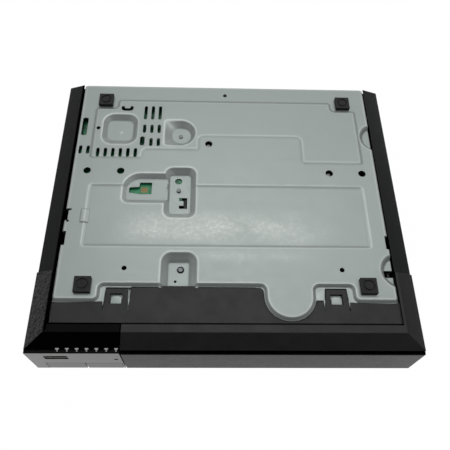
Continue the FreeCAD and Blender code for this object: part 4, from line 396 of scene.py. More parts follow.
LOOKS = {
    "cover_paint": surface("cover_paint", "0a0c0c", 0.26, specular=0.35, vary=0.06, grain=0.25,
                           grain_size=0.0005, spread=0.02, wear=0.35, wear_colour="6a6c6d",
                           changed=shaded_rail),
    "plate_steel": plate_steel(),
    "panel_steel": surface("panel_paint", "141414", 0.45, specular=0.4, grain=0.2, grain_size=0.0005,
                           wear=0.4, wear_colour="707272"),
    # The bezel carries painted shade in the groove along the front
    "bezel_plastic": surface("bezel_plastic", "151516", 0.44, specular=0.42, grain=0.25, grain_size=0.0004,
                             changed=groove_shade),
    "trim_plastic": surface("grained_plastic", "101010", 0.36, specular=0.5, vary=0.9, vary_size=0.0019,
                            grain=1.0, grain_size=0.0019, changed=shaded_rail),
    "gloss_black": surface("gloss_black", "030303", 0.05, specular=0.5, vary=0.2, spread=0.02,
                           wear=0.15, wear_colour="303030", changed=ticked_facet),
    "door_plastic": surface("door_plastic", "09090a", 0.26, specular=0.15, ior=1.36, grain=0.05,
                            grain_size=0.0004, spread=0.04, changed=shaded_foot),
    "key_plastic": surface("key_plastic", "060606", 0.12, specular=0.5, spread=0.04),
    "switch_plastic": surface("switch_plastic", "2a2a2c", 0.5, grain=0.2, grain_size=0.0003),
    "light_plastic": clear_look("clear_plastic", ("d9dde0", "f4f6f7"), 0.003, 0.12, 1.49, 0.6),
    "socket_steel": surface("nickel_shell", "c2c0bb", 0.24, metallic=1.0, vary=0.06, grain=0.1,
                            grain_size=0.0005, stretch=(0.2, 1, 1)),
    "socket_plastic": surface("socket_plastic", "0e0e0f", 0.42, grain=0.15, grain_size=0.0003),
    "coax_plastic": surface("coax_plastic", "c76a14", 0.38, grain=0.1, grain_size=0.0003),
    "board_green": circuit_board(),
    "chip_black": surface("chip_epoxy", "18191b", 0.6, grain=0.35, grain_size=0.0003),
    "sink_aluminium": surface("sink_aluminium", "c4c6c8", 0.34, metallic=1.0, vary=0.08, grain=0.2,
                              grain_size=0.0007, stretch=(1, 0.08, 1)),
    "can_aluminium": surface("can_aluminium", "cdced0", 0.26, metallic=1.0, vary=0.05, grain=0.05),
    "plug_plastic": surface("plug_nylon", "d8d0b8", 0.5, grain=0.15, grain_size=0.0003),
    "ribbon_plastic": surface("ribbon_film", "cfd3d6", 0.35, vary=0.12, vary_size=0.0016),
    "screw_steel": surface("screw_steel", "76797a", 0.42, metallic=0.9, vary=0.12, vary_size=0.002, grain=0.15,
                           grain_size=0.0003, wear=0.5, wear_colour="d4d6d6"),
    "foot_rubber": surface("foot_rubber", "1a1b1b", 0.55, specular=0.45, vary=0.55, vary_size=0.003, grain=0.7,
                           grain_size=0.0009, spread=0.14, edge=0.5 * MM, wear=0.25, wear_colour="4a4a4a"),
    "base_plastic": surface("base_plastic", "19191a", 0.5, grain=0.3, grain_size=0.0004),
    "tray_plastic": surface("tray_plastic", "161617", 0.45, grain=0.35, grain_size=0.0004),
    "gear_plastic": surface("gear_acetal", "e4dfd0", 0.42, vary=0.05, grain=0.1, grain_size=0.0003),
    "motor_steel": surface("motor_steel", "aeb0b2", 0.28, metallic=1.0, vary=0.08, grain=0.15,
                           grain_size=0.0005, stretch=(1, 1, 0.1)),
    "belt_rubber": surface("belt_rubber", "121212", 0.6, grain=0.2, grain_size=0.0003),
    "frame_steel": surface("frame_zinc", "b4b8ba", 0.36, metallic=0.85, vary=0.1, vary_size=0.006, grain=0.15,
                           grain_size=0.0006, stretch=(0.1, 1, 1)),
    "bush_rubber": surface("bush_rubber", "202224", 0.7, grain=0.3, grain_size=0.0004),
    "clamp_plastic": surface("clamp_plastic", "2c2d30", 0.42, grain=0.25, grain_size=0.0004),
    "yoke_steel": surface("yoke_steel", "b8babc", 0.3, metallic=1.0, vary=0.06, grain=0.1),
    "rod_steel": surface("ground_steel", "c8cacc", 0.14, metallic=1.0, vary=0.05, grain=0.1,
                         grain_size=0.0004, stretch=(1, 0.1, 1)),
    "sled_metal": surface("cast_metal", "8e9194", 0.48, metallic=0.9, vary=0.12, grain=0.5, grain_size=0.0006),
    "holder_plastic": surface("holder_plastic", "202124", 0.4, grain=0.2, grain_size=0.0003),
    "lens_glass": clear_look("optical_glass", ("b8c8ff", "e6ecff"), 0.002, 0.04, 1.5, 0.9),
}


# The pressed bottom plate, drawn in millimetres with Y from the front edge
SHEET_THICKNESS = 0.8
PLATE_LEVEL = 2.5
PLATE_HALF = 102.5
PLATE_BACK = 198.6
FLANGE_TOP = 11.5
FLANGE_BACK = 195.6
BORDER_DROP = 1.6
BORDER_WIDTH = 2.2
TONGUE_X = -38.1
PANEL_STEP = 0.55
PANEL_WALL = 2.2
FILLET_SHARE = 0.2
SEAT_OUTLINE = [(40.4, 14.0, 1.0), (40.4, 62.6, 7.0), (17.4, 62.6, 7.0), (17.4, 14.0, 1.0)]
DIMPLE_PIP = (72.9, 156.5)

# How finely the plate is divided, in millimetres; ARC_TURN in radians and WALL_RINGS as shares of a wall
ARC_STEP = 0.6
ARC_TURN = 0.3
RUN_STEP = 4.0
SHORTEST_RUN = 0.02
HOLLOW_GRID = 0.85
GRID_FRONT = 30.0
GRID_CLEAR = 0.3
BORDER_BEFORE = (-1.4, -0.7)
PANEL_BEFORE = (1.0, 0.5)
PANEL_AFTER = (0.6, 1.2)
WALL_RINGS = (0.0, 0.07, 0.14, 0.2, 0.5, 0.8, 0.86, 0.93, 1.0)
OUTLINE_RINGS = (1.3, 0.6, 0.0, -0.4, -0.9)
FLOOR_RINGS = (0.0, 0.4, 0.9)

# Painted highlight lines on the plate's outer bends and painted shade lines in its inner bends: width, and
# strength; then the strength of the painted light on the hollows' walls
PANEL_HIGHLIGHT = (0.6, 0.45)
PANEL_SHADE = (0.45, -0.3)
OUTLINE_HIGHLIGHT = (0.8, 0.8)
FLOOR_SHADE = (0.4, -0.25)
PIP_HIGHLIGHT = (0.9, 1.0)
BORDER_HIGHLIGHT = (0.6, 0.8)
EDGE_HIGHLIGHT = (0.3, 0.6)
WALL_SHEEN = 0.5

# Posts, boss ends, hooks and catches
POSTS = ((95.0, 109.0), (95.0, 183.0))
POST_RADIUS = 3.0
POST_LEVELS = (3.0, 6.8)
BOSS_ENDS = ((11.8, 145.5), (-70.0, 122.1))
BOSS_RADIUS = 1.5
BOSS_LEVELS = (4.2, 6.4)
ROUND_BEVEL = 0.4
HOOK_X = (-65.9, 65.3)
TAB_BASE = 7.1
TAB_END = 6.3
TAB_GAP = 0.25
HOOK_PATH = ((40.9, 3.3), (41.3, 4.4), (41.3, 5.6), (40.9, 6.2), (40.2, 6.5), (24.9, 6.5))
HOOK_HALF = 7.9
HOOK_THICKNESS = 0.6
HOOK_BEVEL = 0.2
CATCH_SHAPE = ((-3.3, 28.9, 0.8), (3.3, 28.9, 0.8), (3.3, 34.0, 2.4), (-3.3, 34.0, 2.4))
CATCH_LEVELS = (4.7, 6.3)
CATCH_BEVEL = 0.3
WEDGE_SHAPE = ((6.95, 31.8, 0.05), (8.1, 31.8, 0.05), (7.45, 26.4, 0.05))
WEDGE_LEVELS = (4.15, 4.9)
PLATE_SMOOTH = 38
HOOK_SMOOTH = 45


def rectangle(x, y, radius):
    """The four corners of a rectangle, each with its rounding."""
    return [(x[0], y[0], radius), (x[1], y[0], radius), (x[1], y[1], radius), (x[0], y[1], radius)]


def circle(x, y, radius):
    """A circle, as a square with its corners rounded almost to the middle."""
    return rectangle((x - radius, x + radius), (y - radius, y + radius), radius * 0.999)


def plate_rim():
    """Where the plate's border starts to slope: straight sides, two ears at the front and a round tongue."""
    tongue_reach, tongue_front = 13.3, 20.7
    tongue_left, tongue_right, round_end = TONGUE_X - tongue_reach, TONGUE_X + tongue_reach, tongue_reach * 0.99
    ear_front, front, corner, fillet = 31.8, 41.8, 4.2, 4.6
    right_ear, left_ear, side, back = 77.2, -78.0, 101.4, PLATE_BACK - 1.2
    return [
        (side, back, 1.0), (-side, back, 1.0), (-side, ear_front, 1.0),
        (left_ear, ear_front, 2.2), (left_ear, front, corner),
        (tongue_left, front, fillet), (tongue_left, tongue_front, round_end),
        (tongue_right, tongue_front, round_end), (tongue_right, front, fillet),
        (right_ear, front, corner), (right_ear, ear_front, 2.2), (side, ear_front, 1.0),
    ]


def plate_border():
    """The plate's cut edge: beyond the slope by a narrow flange, and wider beside the hook tabs."""
    tongue_reach, tongue_front = 16.0, 18.0
    tongue_left, tongue_right = TONGUE_X - tongue_reach + 0.2, TONGUE_X + tongue_reach
    ear_front, beside, front, bend = 29.3, 31.4, 39.1, 0.4
    tab_front = ear_front + 0.9
    tab_clear, end_clear = TAB_BASE + TAB_GAP, TAB_END + TAB_GAP
    left, right = HOOK_X
    return [
        (PLATE_HALF, PLATE_BACK, bend), (-PLATE_HALF, PLATE_BACK, bend), (-PLATE_HALF, ear_front, bend),
        (left - tab_clear, tab_front, bend), (left - end_clear, front, bend),
        (left + end_clear, front, bend), (left + tab_clear, beside, bend), (tongue_left, beside, bend),
        (tongue_left, tongue_front, tongue_reach * 0.97), (tongue_right, tongue_front, tongue_reach * 0.99),
        (tongue_right, front, 2.0), (right - end_clear, front, bend), (right + end_clear, front, bend),
        (right + tab_clear, tab_front, bend), (PLATE_HALF, ear_front, bend),
    ]


def raised_panel():
    """The raised field at the back, stepped round the feet and the vents."""
    corners = [
        (77.2, 184.8), (-77.2, 184.8), (-77.2, 177.2), (-94.6, 177.2), (-94.6, 129.4), (-51.8, 129.4),
        (-51.8, 151.4), (17.6, 151.4), (17.6, 139.6), (56.2, 139.6), (56.2, 132.4), (92.6, 132.4),
        (92.6, 177.2), (77.2, 177.2),
    ]
    return [(x, y, 2.6) for x, y in corners]


def plate_panels():
    """The shallow stepped panels: outline, depth away from the viewer and width of the step."""
    return [
        (raised_panel(), -PANEL_STEP, PANEL_WALL),
        (rectangle((-92.0, 90.4), (65.4, 112.3), 2.8), PANEL_STEP, PANEL_WALL),
        (rectangle((87.0, 92.8), (82.3, 92.6), 0.8), -0.5, 0.8),
    ]


def plate_hollows():
    """The deep hollows: outline, depth, and the outline of the flat floor that the walls run down to."""
    side_seats = [(circle(-106.8, y, 12.2), 2.6, circle(-106.8, y, 9.2)) for y in (153.6, 50.6)]
    return [
        (rectangle((19.4, 40.8), (86.6, 126.2), 5.6), 3.5, rectangle((23.4, 36.7), (91.4, 120.6), 2.0)),
        ([(68.4, 97.4, 5.0), (68.4, 121.2, 12.0), (30.0, 121.2, 3.0), (30.0, 97.4, 3.0)], 2.3,
         [(65.0, 100.9, 2.2), (65.0, 116.8, 8.8), (32.0, 116.8, 3.0), (32.0, 100.9, 3.0)]),
        (rectangle((61.3, 86.2), (144.0, 171.6), 8.0), 2.4, rectangle((64.9, 82.3), (149.5, 166.4), 3.6)),
        ([(43.0, 166.6, 2.4), (20.6, 166.6, 11.4), (20.6, 143.6, 11.4), (43.0, 143.6, 2.4)], 2.9,
         circle(30.4, 154.2, 6.3)),
        (SEAT_OUTLINE, 4.5, rectangle((23.3, 35.2), (10.0, 56.4), 0.8)),
    ] + side_seats


def plate_holes():
    """The outlines of everything that is cut through the plate."""
    slot_half, slot_pitch, slot_end = 1.12, 5.1, 1.1
    holes = [circle(x, y, radius) for x, y, radius in (
        (92.6, 122.4, 2.5), (70.3, 122.4, 2.5), (-92.6, 122.4, 2.5), (-70.3, 122.4, 2.5), (11.5, 145.8, 2.5),
        (62.0, 51.1, 1.55), (-70.9, 50.7, 1.5), (0.0, 190.2, 1.4), (88.8, 158.2, 1.4),
        (28.1, 51.9, 2.3), (31.1, 109.0, 1.4), (31.1, 153.8, 1.4), (31.1, 44.2, 0.8),
    )]
    for x in (-85.5, 85.5):
        for y in (39.6, 183.2):
            holes.append(circle(x, y, 1.6))
    for first_x, back, length, count in (
        (46.4, 178.6, 12.2, 3), (46.4, 161.7, 7.3, 3), (46.4, 149.8, 6.8, 2), (61.6, 140.9, 7.3, 6),
        (94.1, 143.0, 6.8, 2),
    ):
        for index in range(count):
            x = first_x + index * slot_pitch
            holes.append(rectangle((x - slot_half, x + slot_half), (back - length, back), slot_end))
    holes += [
        # A wide slot by the right edge, the block's round-ended hole and the wide vent
        rectangle((96.6, 100.4), (152.1, 167.6), 1.2),
        rectangle((29.1, 33.9), (114.4, 118.7), 2.1),
        rectangle((56.0, 59.1), (143.4, 151.1), 1.3),
        # Notches in the two side edges, the middle one on the right with a foot at each end
        rectangle((-104.0, -100.6), (65.2, 74.6), 0.3),
        rectangle((100.2, 104.0), (66.4, 76.2), 0.3),
        rectangle((98.9, 101.2), (91.3, 92.7), 0.2), rectangle((100.5, 104.0), (84.0, 92.7), 0.2),
        rectangle((99.6, 101.2), (82.9, 84.3), 0.2),
        rectangle((-104.0, -97.2), (46.8, 51.4), 0.6),
        # The window over the main board, and the slots round the block's hook and the back lug
        [(x, y, 0.4) for x, y in ((49.0, 105.4), (57.0, 105.4), (63.8, 106.6), (63.8, 110.6), (57.2, 111.2),
                                  (57.0, 114.6), (49.0, 114.6))],
        claw((25.4, 30.6), (95.3, 103.5), 2.3),
        crescent((65.8, 74.2), (174.2, 178.3), 2.2),
    ]
    return holes


def claw(x, y, inner):
    """A C-shaped slot round a small hook."""
    bend = 0.2
    return [(a, b, bend) for a, b in (
        (x[0], y[0]), (x[1], y[0]), (x[1], y[0] + inner), (x[0] + inner, y[0] + inner),
        (x[0] + inner, y[1] - inner), (x[1], y[1] - inner), (x[1], y[1]), (x[0], y[1]),
    )]


def crescent(x, y, inner):
    """A slot bent round the front of a small lug."""
    return [
        (x[0], y[0], inner), (x[1], y[0], inner), (x[1], y[1], 0.4), (x[1] - inner, y[1], 0.4),
        (x[1] - inner, y[0] + inner, 0.6), (x[0] + inner, y[0] + inner, 0.6), (x[0] + inner, y[1], 0.4),
        (x[0], y[1], 0.4),
    ]


def rounded(corners, grow=0.0):
    """Points round an outline of (x, y, radius) corners, moved outwards by grow."""
    area = sum(a[0] * b[1] - b[0] * a[1] for a, b in zip(corners, corners[1:] + corners[:1]))
    if area < 0:
        corners = corners[::-1]
    points = []
    count = len(corners)
    for index, (x, y, radius) in enumerate(corners):
        corner = Vector((x, y))
        before = (corner - Vector(corners[index - 1][:2])).normalized()
        after = (Vector(corners[(index + 1) % count][:2]) - corner).normalized()
        out_before, out_after = Vector((before.y, -before.x)), Vector((after.y, -after.x))
        moved = corner + (out_before + out_after) * (grow / (1 + out_before.dot(out_after)))
        turn = math.atan2(before.x * after.y - before.y * after.x, before.dot(after))
        reach = max(radius + (grow if turn > 0 else -grow), 0.05)
        length = reach * abs(math.tan(turn / 2))
        start = moved - before * length
        side = Vector((-before.y, before.x)) * (1 if turn > 0 else -1)
        centre = start + side * reach
        steps = max(2, int(abs(turn) * reach / ARC_STEP) + 1, int(abs(turn) / ARC_TURN))
        for step in range(steps + 1):
            angle = turn * step / steps
            spoke = start - centre
            points.append(centre + Vector((spoke.x * math.cos(angle) - spoke.y * math.sin(angle),
                                           spoke.x * math.sin(angle) + spoke.y * math.cos(angle))))
    return divided(points)


def divided(points):
    """The same closed line with its long runs divided, and without doubled points."""
    made = []
    for here, ahead in zip(points, points[1:] + points[:1]):
        length = (ahead - here).length
        if length < SHORTEST_RUN:
            continue
        steps = max(1, int(length / RUN_STEP))
        made += [here.lerp(ahead, step / steps) for step in range(steps)]
    return made


def signed_distance(places, outline):
    """How far each place lies outside an outline; negative inside it."""
    start = np.array([tuple(p) for p in outline])
    end = np.roll(start, -1, axis=0)
    run = end - start
    best = np.full(len(places), 1e9)
    crossings = np.zeros(len(places), dtype=int)
    for a, b, d in zip(start, end, run):
        offset = places - a
        share = np.clip((offset @ d) / (d @ d), 0, 1)
        gap = offset - share[:, None] * d
        best = np.minimum(best, np.hypot(gap[:, 0], gap[:, 1]))
        spans = (a[1] > places[:, 1]) != (b[1] > places[:, 1])
        if abs(d[1]) > 1e-12:
            at = a[0] + (places[:, 1] - a[1]) / d[1] * d[0]
            crossings += spans & (places[:, 0] < at)
    return np.where(crossings % 2 == 1, -best, best)


def sloped(share):
    """A straight slope from 0 to 1, with a soft bend at each end."""
    share = np.clip(share, 0, 1)
    bend = FILLET_SHARE
    curve = 1 / (2 * bend * (1 - bend))
    middle = (share - bend / 2) / (1 - bend)
    return np.where(share < bend, curve * share ** 2,
                    np.where(share > 1 - bend, 1 - curve * (1 - share) ** 2, middle))


def hollow_share(places, outline, floor):
    """0 outside a hollow, 1 on its floor, and evenly between them on its walls."""
    inside = np.clip(-signed_distance(places, rounded(outline)), 0, None)
    to_floor = np.clip(signed_distance(places, rounded(floor)), 0, None)
    return sloped(inside / (inside + to_floor + 1e-9))


def plate_height(places):
    """The outer face's level at each place: panels, then hollows over them, then the sloped border."""
    panels = np.zeros(len(places))
    for outline, depth, wall in plate_panels():
        panels += sloped(-signed_distance(places, rounded(outline)) / wall) * depth
    hollow = np.zeros(len(places))
    covered = np.zeros(len(places))
    seat = np.zeros(len(places))
    for outline, depth, floor in plate_hollows():
        share = hollow_share(places, outline, floor)
        hollow = np.maximum(hollow, share * depth)
        covered = np.maximum(covered, share)
        if outline is SEAT_OUTLINE:
            seat = share
    beyond = signed_distance(places, rounded(plate_rim()))
    edge = BORDER_DROP * sloped(beyond / BORDER_WIDTH)
    return PLATE_LEVEL + panels * (1 - covered) + np.maximum(hollow, edge * (1 - seat))


def plate_bend_light(places):
    """Painted light along the sheet's bends: up to 1 for a painted highlight on an outer bend, down to -1 for
    painted shade in an inner bend.
    """
    bend_light = np.zeros(len(places))
    shares = [hollow_share(places, outline, floor) for outline, _, floor in plate_hollows()]
    deepest = np.max(shares, axis=0)

    def add(distance, look, cover):
        width, strength = look
        line = np.exp(-(distance / width) ** 2) * strength * np.clip(1 - 4 * cover, 0, 1)
        bend_light[:] = np.where(np.abs(line) > np.abs(bend_light), line, bend_light)

    for outline, depth, wall in plate_panels():
        outer = signed_distance(places, rounded(outline))
        add(outer + (0.3 if depth > 0 else wall - 0.3), PANEL_HIGHLIGHT, deepest)
        add(outer + (wall if depth > 0 else 0.0), PANEL_SHADE, deepest)
    # Painted light across the hollows' walls
    bend_light += WALL_SHEEN * 4 * deepest * (1 - deepest)
    for index, (outline, _, floor) in enumerate(plate_hollows()):
        others = np.max(shares[:index] + shares[index + 1:], axis=0)
        add(signed_distance(places, rounded(outline)) + 0.2, OUTLINE_HIGHLIGHT, others)
        add(signed_distance(places, rounded(floor)) - 0.2, FLOOR_SHADE, others)
    add(np.hypot(*(places - DIMPLE_PIP).T), PIP_HIGHLIGHT, 0.0)
    beyond = signed_distance(places, rounded(plate_rim()))
    add(beyond - 0.1, BORDER_HIGHLIGHT, deepest)
    add(beyond - BORDER_WIDTH - 0.35, EDGE_HIGHLIGHT, deepest)
    return bend_light


def plate_layout(border, holes):
    """The points and edges that the sheet is divided along: rings on each wall, and every hole."""
    points, edges = [], []

    def lay(line):
        first = len(points)
        points.extend(line)
        edges.extend((first + i, first + (i + 1) % len(line)) for i in range(len(line)))

    lay(border)
    for reach in [*BORDER_BEFORE] + [BORDER_WIDTH * share for share in WALL_RINGS]:
        lay(rounded(plate_rim(), reach))
    for outline, _, wall in plate_panels():
        beyond = [-wall - further for further in PANEL_AFTER]
        for reach in [*PANEL_BEFORE] + [-wall * share for share in WALL_RINGS] + beyond:
            lay(rounded(outline, reach))
    for hole in holes:
        lay(rounded(hole))
    for outline, _, floor in plate_hollows():
        for grow in OUTLINE_RINGS:
            lay(rounded(outline, grow))
        for grow in FLOOR_RINGS:
            lay(rounded(floor, grow))
        points.extend(hollow_grid(outline))
    return points, edges


def hollow_grid(outline):
    """Evenly spaced points inside a hollow."""
    xs, ys = [c[0] for c in outline], [c[1] for c in outline]
    grid = np.array([(x, y) for x in np.arange(min(xs), max(xs), HOLLOW_GRID)
                     for y in np.arange(max(min(ys), GRID_FRONT), max(ys), HOLLOW_GRID)])
    inside = signed_distance(grid, rounded(outline)) < -GRID_CLEAR
    return [Vector(p) for p in grid[inside]]


def cut_sheet(border, holes):
    """The sheet's flat triangles, without what lies outside the edge or inside a hole."""
    points, edges = plate_layout(border, holes)
    flat, _, faces, *_ = delaunay_2d_cdt(points, edges, [], 0, 1e-4)
    flat = np.array([tuple(p) for p in flat])
    faces = np.array([f for f in faces if len(f) == 3])
    middles = flat[faces].mean(axis=1)
    keep = signed_distance(middles, border) < 0
    for hole in holes:
        keep &= signed_distance(middles, rounded(hole)) > 0
    return flat, faces[keep]


def bottom_plate():
    """The bottom plate as soft pressed sheet steel, with its side flanges."""
    flat, faces = cut_sheet(rounded(plate_border()), plate_holes())
    mesh = bpy.data.meshes.new("pressed_plate")
    corners = [(x * MM, (y + FRONT_MM) * MM, z * MM) for (x, y), z in zip(flat, plate_height(flat))]
    mesh.from_pydata(corners, [], [tuple(int(i) for i in f[::-1]) for f in faces])
    # The rim attribute carries the painted highlights and painted shade along the plate's bends
    mesh.attributes.new("rim", "FLOAT", "POINT").data.foreach_set("value", plate_bend_light(flat))
    work = bmesh.new()
    work.from_mesh(mesh)
    bmesh.ops.delete(work, geom=[v for v in work.verts if not v.link_faces], context="VERTS")
    raise_flanges(work)
    bmesh.ops.recalc_face_normals(work, faces=work.faces)
    work.to_mesh(mesh)
    work.free()
    plate = linked("pressed_plate", mesh)
    thicken(plate, SHEET_THICKNESS, -1)
    return finish_piece(applied(plate), "casing", "plate_steel", PLATE_SMOOTH)


def raise_flanges(work):
    """Folds the two sides up into flanges, in an order that is the same each run."""
    reach, back = (PLATE_HALF - 0.01) * MM, (FLANGE_BACK + FRONT_MM) * MM
    rim = [e for e in work.edges
           if e.is_boundary and all(abs(v.co.x) > reach and v.co.y < back for v in e.verts)]
    raised = {}
    for edge in sorted(rim, key=lambda e: sorted(tuple(v.co) for v in e.verts)):
        for v in edge.verts:
            if v not in raised:
                raised[v] = work.verts.new((v.co.x, v.co.y, FLANGE_TOP * MM), v)
        near, far = edge.verts
        work.faces.new((near, far, raised[far], raised[near]))


def linked(name, data):
    """A new object in the scene for a mesh, a lamp or a camera."""
    made = bpy.data.objects.new(name, data)
    bpy.context.collection.objects.link(made)
    return made


def thicken(piece, thickness, offset):
    """Gives a sheet its thickness in millimetres: inwards where the offset is -1, both ways where it is 0."""
    sheet = piece.modifiers.new("sheet", "SOLIDIFY")
    sheet.thickness = thickness * MM
    sheet.offset = offset


def soften(piece, width, segments, angle):
    """Rounds the edges that are sharper than an angle in degrees."""
    edge = piece.modifiers.new("edge", "BEVEL")
    edge.width = width * MM
    edge.segments = segments
    edge.angle_limit = math.radians(angle)


def applied(piece):
    """The piece with its modifiers made part of its mesh."""
    graph = bpy.context.evaluated_depsgraph_get()
    mesh = bpy.data.meshes.new_from_object(piece.evaluated_get(graph))
    piece.modifiers.clear()
    piece.data = mesh
    return piece


def finish_piece(piece, body, slot, smooth):
    """Gives a piece its material, its shading and the body that it rides on."""
    piece.data.materials.clear()
    piece.data.materials.append(LOOKS[slot])
    for face in piece.data.polygons:
        face.use_smooth = True
    piece.data.set_sharp_from_angle(angle=math.radians(smooth))
    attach(piece, body)
    return piece


def from_outline(name, corners, levels, bevel=0.0):
    """A plate of a rounded outline in millimetres between two levels, with softened edges."""
    low, high = levels
    work = bmesh.new()
    rim = [work.verts.new((p.x * MM, (p.y + FRONT_MM) * MM, low * MM)) for p in rounded(corners)]
    face = work.faces.new(rim)
    raised = bmesh.ops.extrude_face_region(work, geom=[face])
    for v in (g for g in raised["geom"] if isinstance(g, bmesh.types.BMVert)):
        v.co.z = high * MM
    bmesh.ops.recalc_face_normals(work, faces=work.faces)
    mesh = bpy.data.meshes.new(name)
    work.to_mesh(mesh)
    work.free()
    made = linked(name, mesh)
    if bevel:
        soften(made, bevel, 3, 40)
        applied(made)
    return made


def bent_strip(name, path, half_width, thickness, bevel):
    """A strip of sheet along a path of (y, z) points in millimetres, centred on X zero."""
    work = bmesh.new()
    rows = []
    for y, z in path:
        rows.append([work.verts.new((x * MM, (y + FRONT_MM) * MM, z * MM)) for x in (-half_width, half_width)])
    for near, ahead in zip(rows, rows[1:]):
        work.faces.new((near[0], near[1], ahead[1], ahead[0]))
    mesh = bpy.data.meshes.new(name)
    work.to_mesh(mesh)
    work.free()
    made = linked(name, mesh)
    thicken(made, thickness, 0)
    soften(made, bevel, 4, 50)
    return applied(made)


def plate_posts():
    """The pressed posts that carry the main board, and the boss ends that show in two holes."""
    for places, name, radius, levels, slot in (
        (POSTS, "plate_post_%d", POST_RADIUS, POST_LEVELS, "plate_steel"),
        (BOSS_ENDS, "boss_end_%d", BOSS_RADIUS, BOSS_LEVELS, "screw_steel"),
    ):
        for index, (x, y) in enumerate(places):
            made = from_outline(name % index, circle(x, y, radius), levels, ROUND_BEVEL)
            finish_piece(made, "casing", slot, PLATE_SMOOTH)


def plate_hooks():
    """The bent tongue behind each tab of the lip, with the catch that shows in the tab's window."""
    made = []
    for x, side in zip(HOOK_X, ("left", "right")):
        hook = bent_strip("hook_" + side, HOOK_PATH, HOOK_HALF, HOOK_THICKNESS, HOOK_BEVEL)
        hook.data.transform(Matrix.Translation((x * MM, 0, 0)))
        catch = [(x + across, y, radius) for across, y, radius in CATCH_SHAPE]
        made += [hook, from_outline("catch_" + side, catch, CATCH_LEVELS, CATCH_BEVEL)]
        for way, end in ((-1, "left"), (1, "right")):
            wedge = [(x + way * across, y, radius) for across, y, radius in WEDGE_SHAPE]
            made.append(from_outline("hook_wall_%s_%s" % (side, end), wedge, WEDGE_LEVELS))
    for piece in made:
        finish_piece(piece, "casing", "plate_steel", HOOK_SMOOTH)


def dress_nodes():
    """Gives every CAD node the material of its slot."""
    for entry in frame["record"]["subparts"]:
        node = frame["nodes"][entry["node"]]
        node.data.materials.clear()
        node.data.materials.append(LOOKS[entry["material_slot"]])


def one_sided(name, colour, reach, shine):
    """A matt pale sheet that shows on one side only, to the camera and in reflections beyond a reach."""
    made, g = new_look(name)
    tone = g.mix(g.noise(0.6, 3.0), colour, [c * 0.995 for c in colour[:3]] + [1.0])
    matt = g.add("ShaderNodeBsdfPrincipled", {"Base Color": tone, "Roughness": 0.85, "Specular IOR Level": 0.1})
    light = g.add("ShaderNodeEmission", {"Color": tone, "Strength": 1.0})
    path = g.add("ShaderNodeLightPath")
    far_off = g.math("GREATER_THAN", path.outputs["Ray Length"], reach)
    mirrored = g.math("MULTIPLY", path.outputs["Is Glossy Ray"], far_off)
    seen = g.math("MAXIMUM", path.outputs["Is Camera Ray"], mirrored)
    seen = g.math("MAXIMUM", seen, path.outputs["Is Transmission Ray"])
    glow = g.remap(path.outputs["Is Camera Ray"], STAGE_MIRROR, shine)
    pale = g.blend(g.math("MULTIPLY", seen, glow), matt, light)
    behind = g.add("ShaderNodeNewGeometry").outputs["Backfacing"]
    hidden = g.math("MAXIMUM", behind, g.math("SUBTRACT", 1.0, seen))
    g.show(g.blend(hidden, pale, g.add("ShaderNodeBsdfTransparent")))
    return made


def stage_sheet(name, level, faces_up, reach, shine):
    """A large flat sheet at one level."""
    mesh = bpy.data.meshes.new(name)
    half = STAGE_SIZE / 2
    corners = [(-half, -half, level), (half, -half, level), (half, half, level), (-half, half, level)]
    mesh.from_pydata(corners, [], [(0, 1, 2, 3) if faces_up else (3, 2, 1, 0)])
    mesh.materials.append(one_sided(name, linear("ffffff"), reach, shine))
    linked(name, mesh)


def lamp(name, place, power, size=LAMP_SIZE):
    """A soft square lamp aimed at the player."""
    data = bpy.data.lights.new(name, "AREA")
    data.shape = "SQUARE"
    data.size = size
    data.energy = power
    made = linked(name, data)
    made.location = place
    made.rotation_mode = "QUATERNION"
    made.rotation_quaternion = (-Vector(place)).to_track_quat("-Z", "Y")
    return made


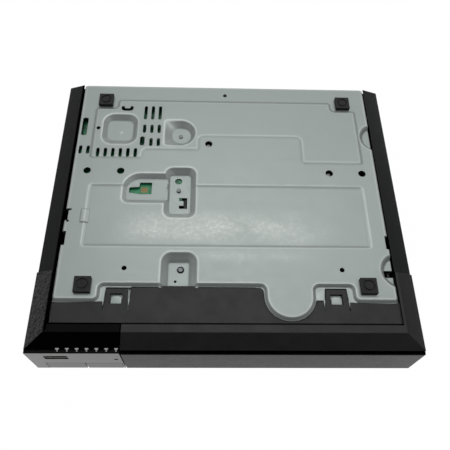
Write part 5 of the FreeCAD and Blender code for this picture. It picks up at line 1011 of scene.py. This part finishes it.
def light_stage():
    """Soft lamps above and below, and a pale world, brightest overhead and underneath."""
    for place, side in zip(UPPER_LAMPS, ("right", "left")):
        lamp("lamp_above_" + side, place, UPPER_LAMP_POWER)
    lamp("lamp_below", LOWER_LAMP, LOWER_LAMP_POWER)
    streak = lamp("lamp_streak", STREAK_LAMP, STREAK_LAMP_POWER, STREAK_LAMP_SIZE)
    streak.data.shape = "RECTANGLE"
    streak.data.size_y = STREAK_LAMP_SIZE / 4
    world = bpy.data.worlds.new("studio")
    bpy.context.scene.world = world
    world.use_nodes = True
    g = Graph(world.node_tree)
    direction = g.add("ShaderNodeTexCoord").outputs["Generated"]
    below = g.along(direction, WORLD_BELOW.normalized())
    above = g.along(direction, WORLD_ABOVE.normalized())
    behind = g.along(direction, CAMERA_PLACE.normalized())
    level = g.math("MAXIMUM", g.remap(below, HORIZON_LEVEL, BELOW_LEVEL, *WORLD_SPREAD),
                   g.remap(above, HORIZON_LEVEL, ABOVE_LEVEL, *WORLD_SPREAD))
    level = g.math("MULTIPLY", level, g.remap(behind, 1.0, DARK_LEVEL, *DARK_SPREAD))
    plain = g.add("ShaderNodeBackground", {"Color": linear("ffffff"), "Strength": level})
    white = g.add("ShaderNodeBackground", {"Color": linear("ffffff"), "Strength": 1.0})
    to_camera = g.add("ShaderNodeLightPath").outputs["Is Camera Ray"]
    g.show(g.blend(to_camera, plain, white), "ShaderNodeOutputWorld")


def camera_axes():
    """The camera's right, up and backward directions: from below the front, turned and rolled a little."""
    tilt = math.radians(CAMERA_ELEVATION)
    turn = Matrix.Rotation(math.radians(CAMERA_YAW), 3, "Z")
    ahead = turn @ Vector((0, math.cos(tilt), math.sin(tilt)))
    right = turn @ Vector((-1, 0, 0))
    down = turn @ Vector((0, -math.sin(tilt), math.cos(tilt)))
    roll = math.radians(-CAMERA_ROLL)
    rolled_right = math.cos(roll) * right + math.sin(roll) * down
    rolled_down = -math.sin(roll) * right + math.cos(roll) * down
    return rolled_right, -rolled_down, -ahead


def add_camera():
    """The scene's camera, at the photograph's place and angle."""
    data = bpy.data.cameras.new("camera")
    data.lens = LENS_MM
    data.sensor_width = SENSOR_MM
    camera = linked("camera", data)
    bpy.context.scene.camera = camera
    turned = Matrix(camera_axes()).transposed().to_4x4()
    camera.matrix_world = Matrix.Translation(CAMERA_PLACE) @ turned


dress_nodes()
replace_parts(bottom_plate(), "bottom_chassis")
plate_posts()
plate_hooks()
stage_sheet("floor", 0.0, True, FLOOR_REACH, FLOOR_GLOW)
stage_sheet("table", cad_high.z, False, 0.0, TABLE_GLOW)
light_stage()
add_camera()
bpy.context.scene.view_settings.view_transform = "Standard"
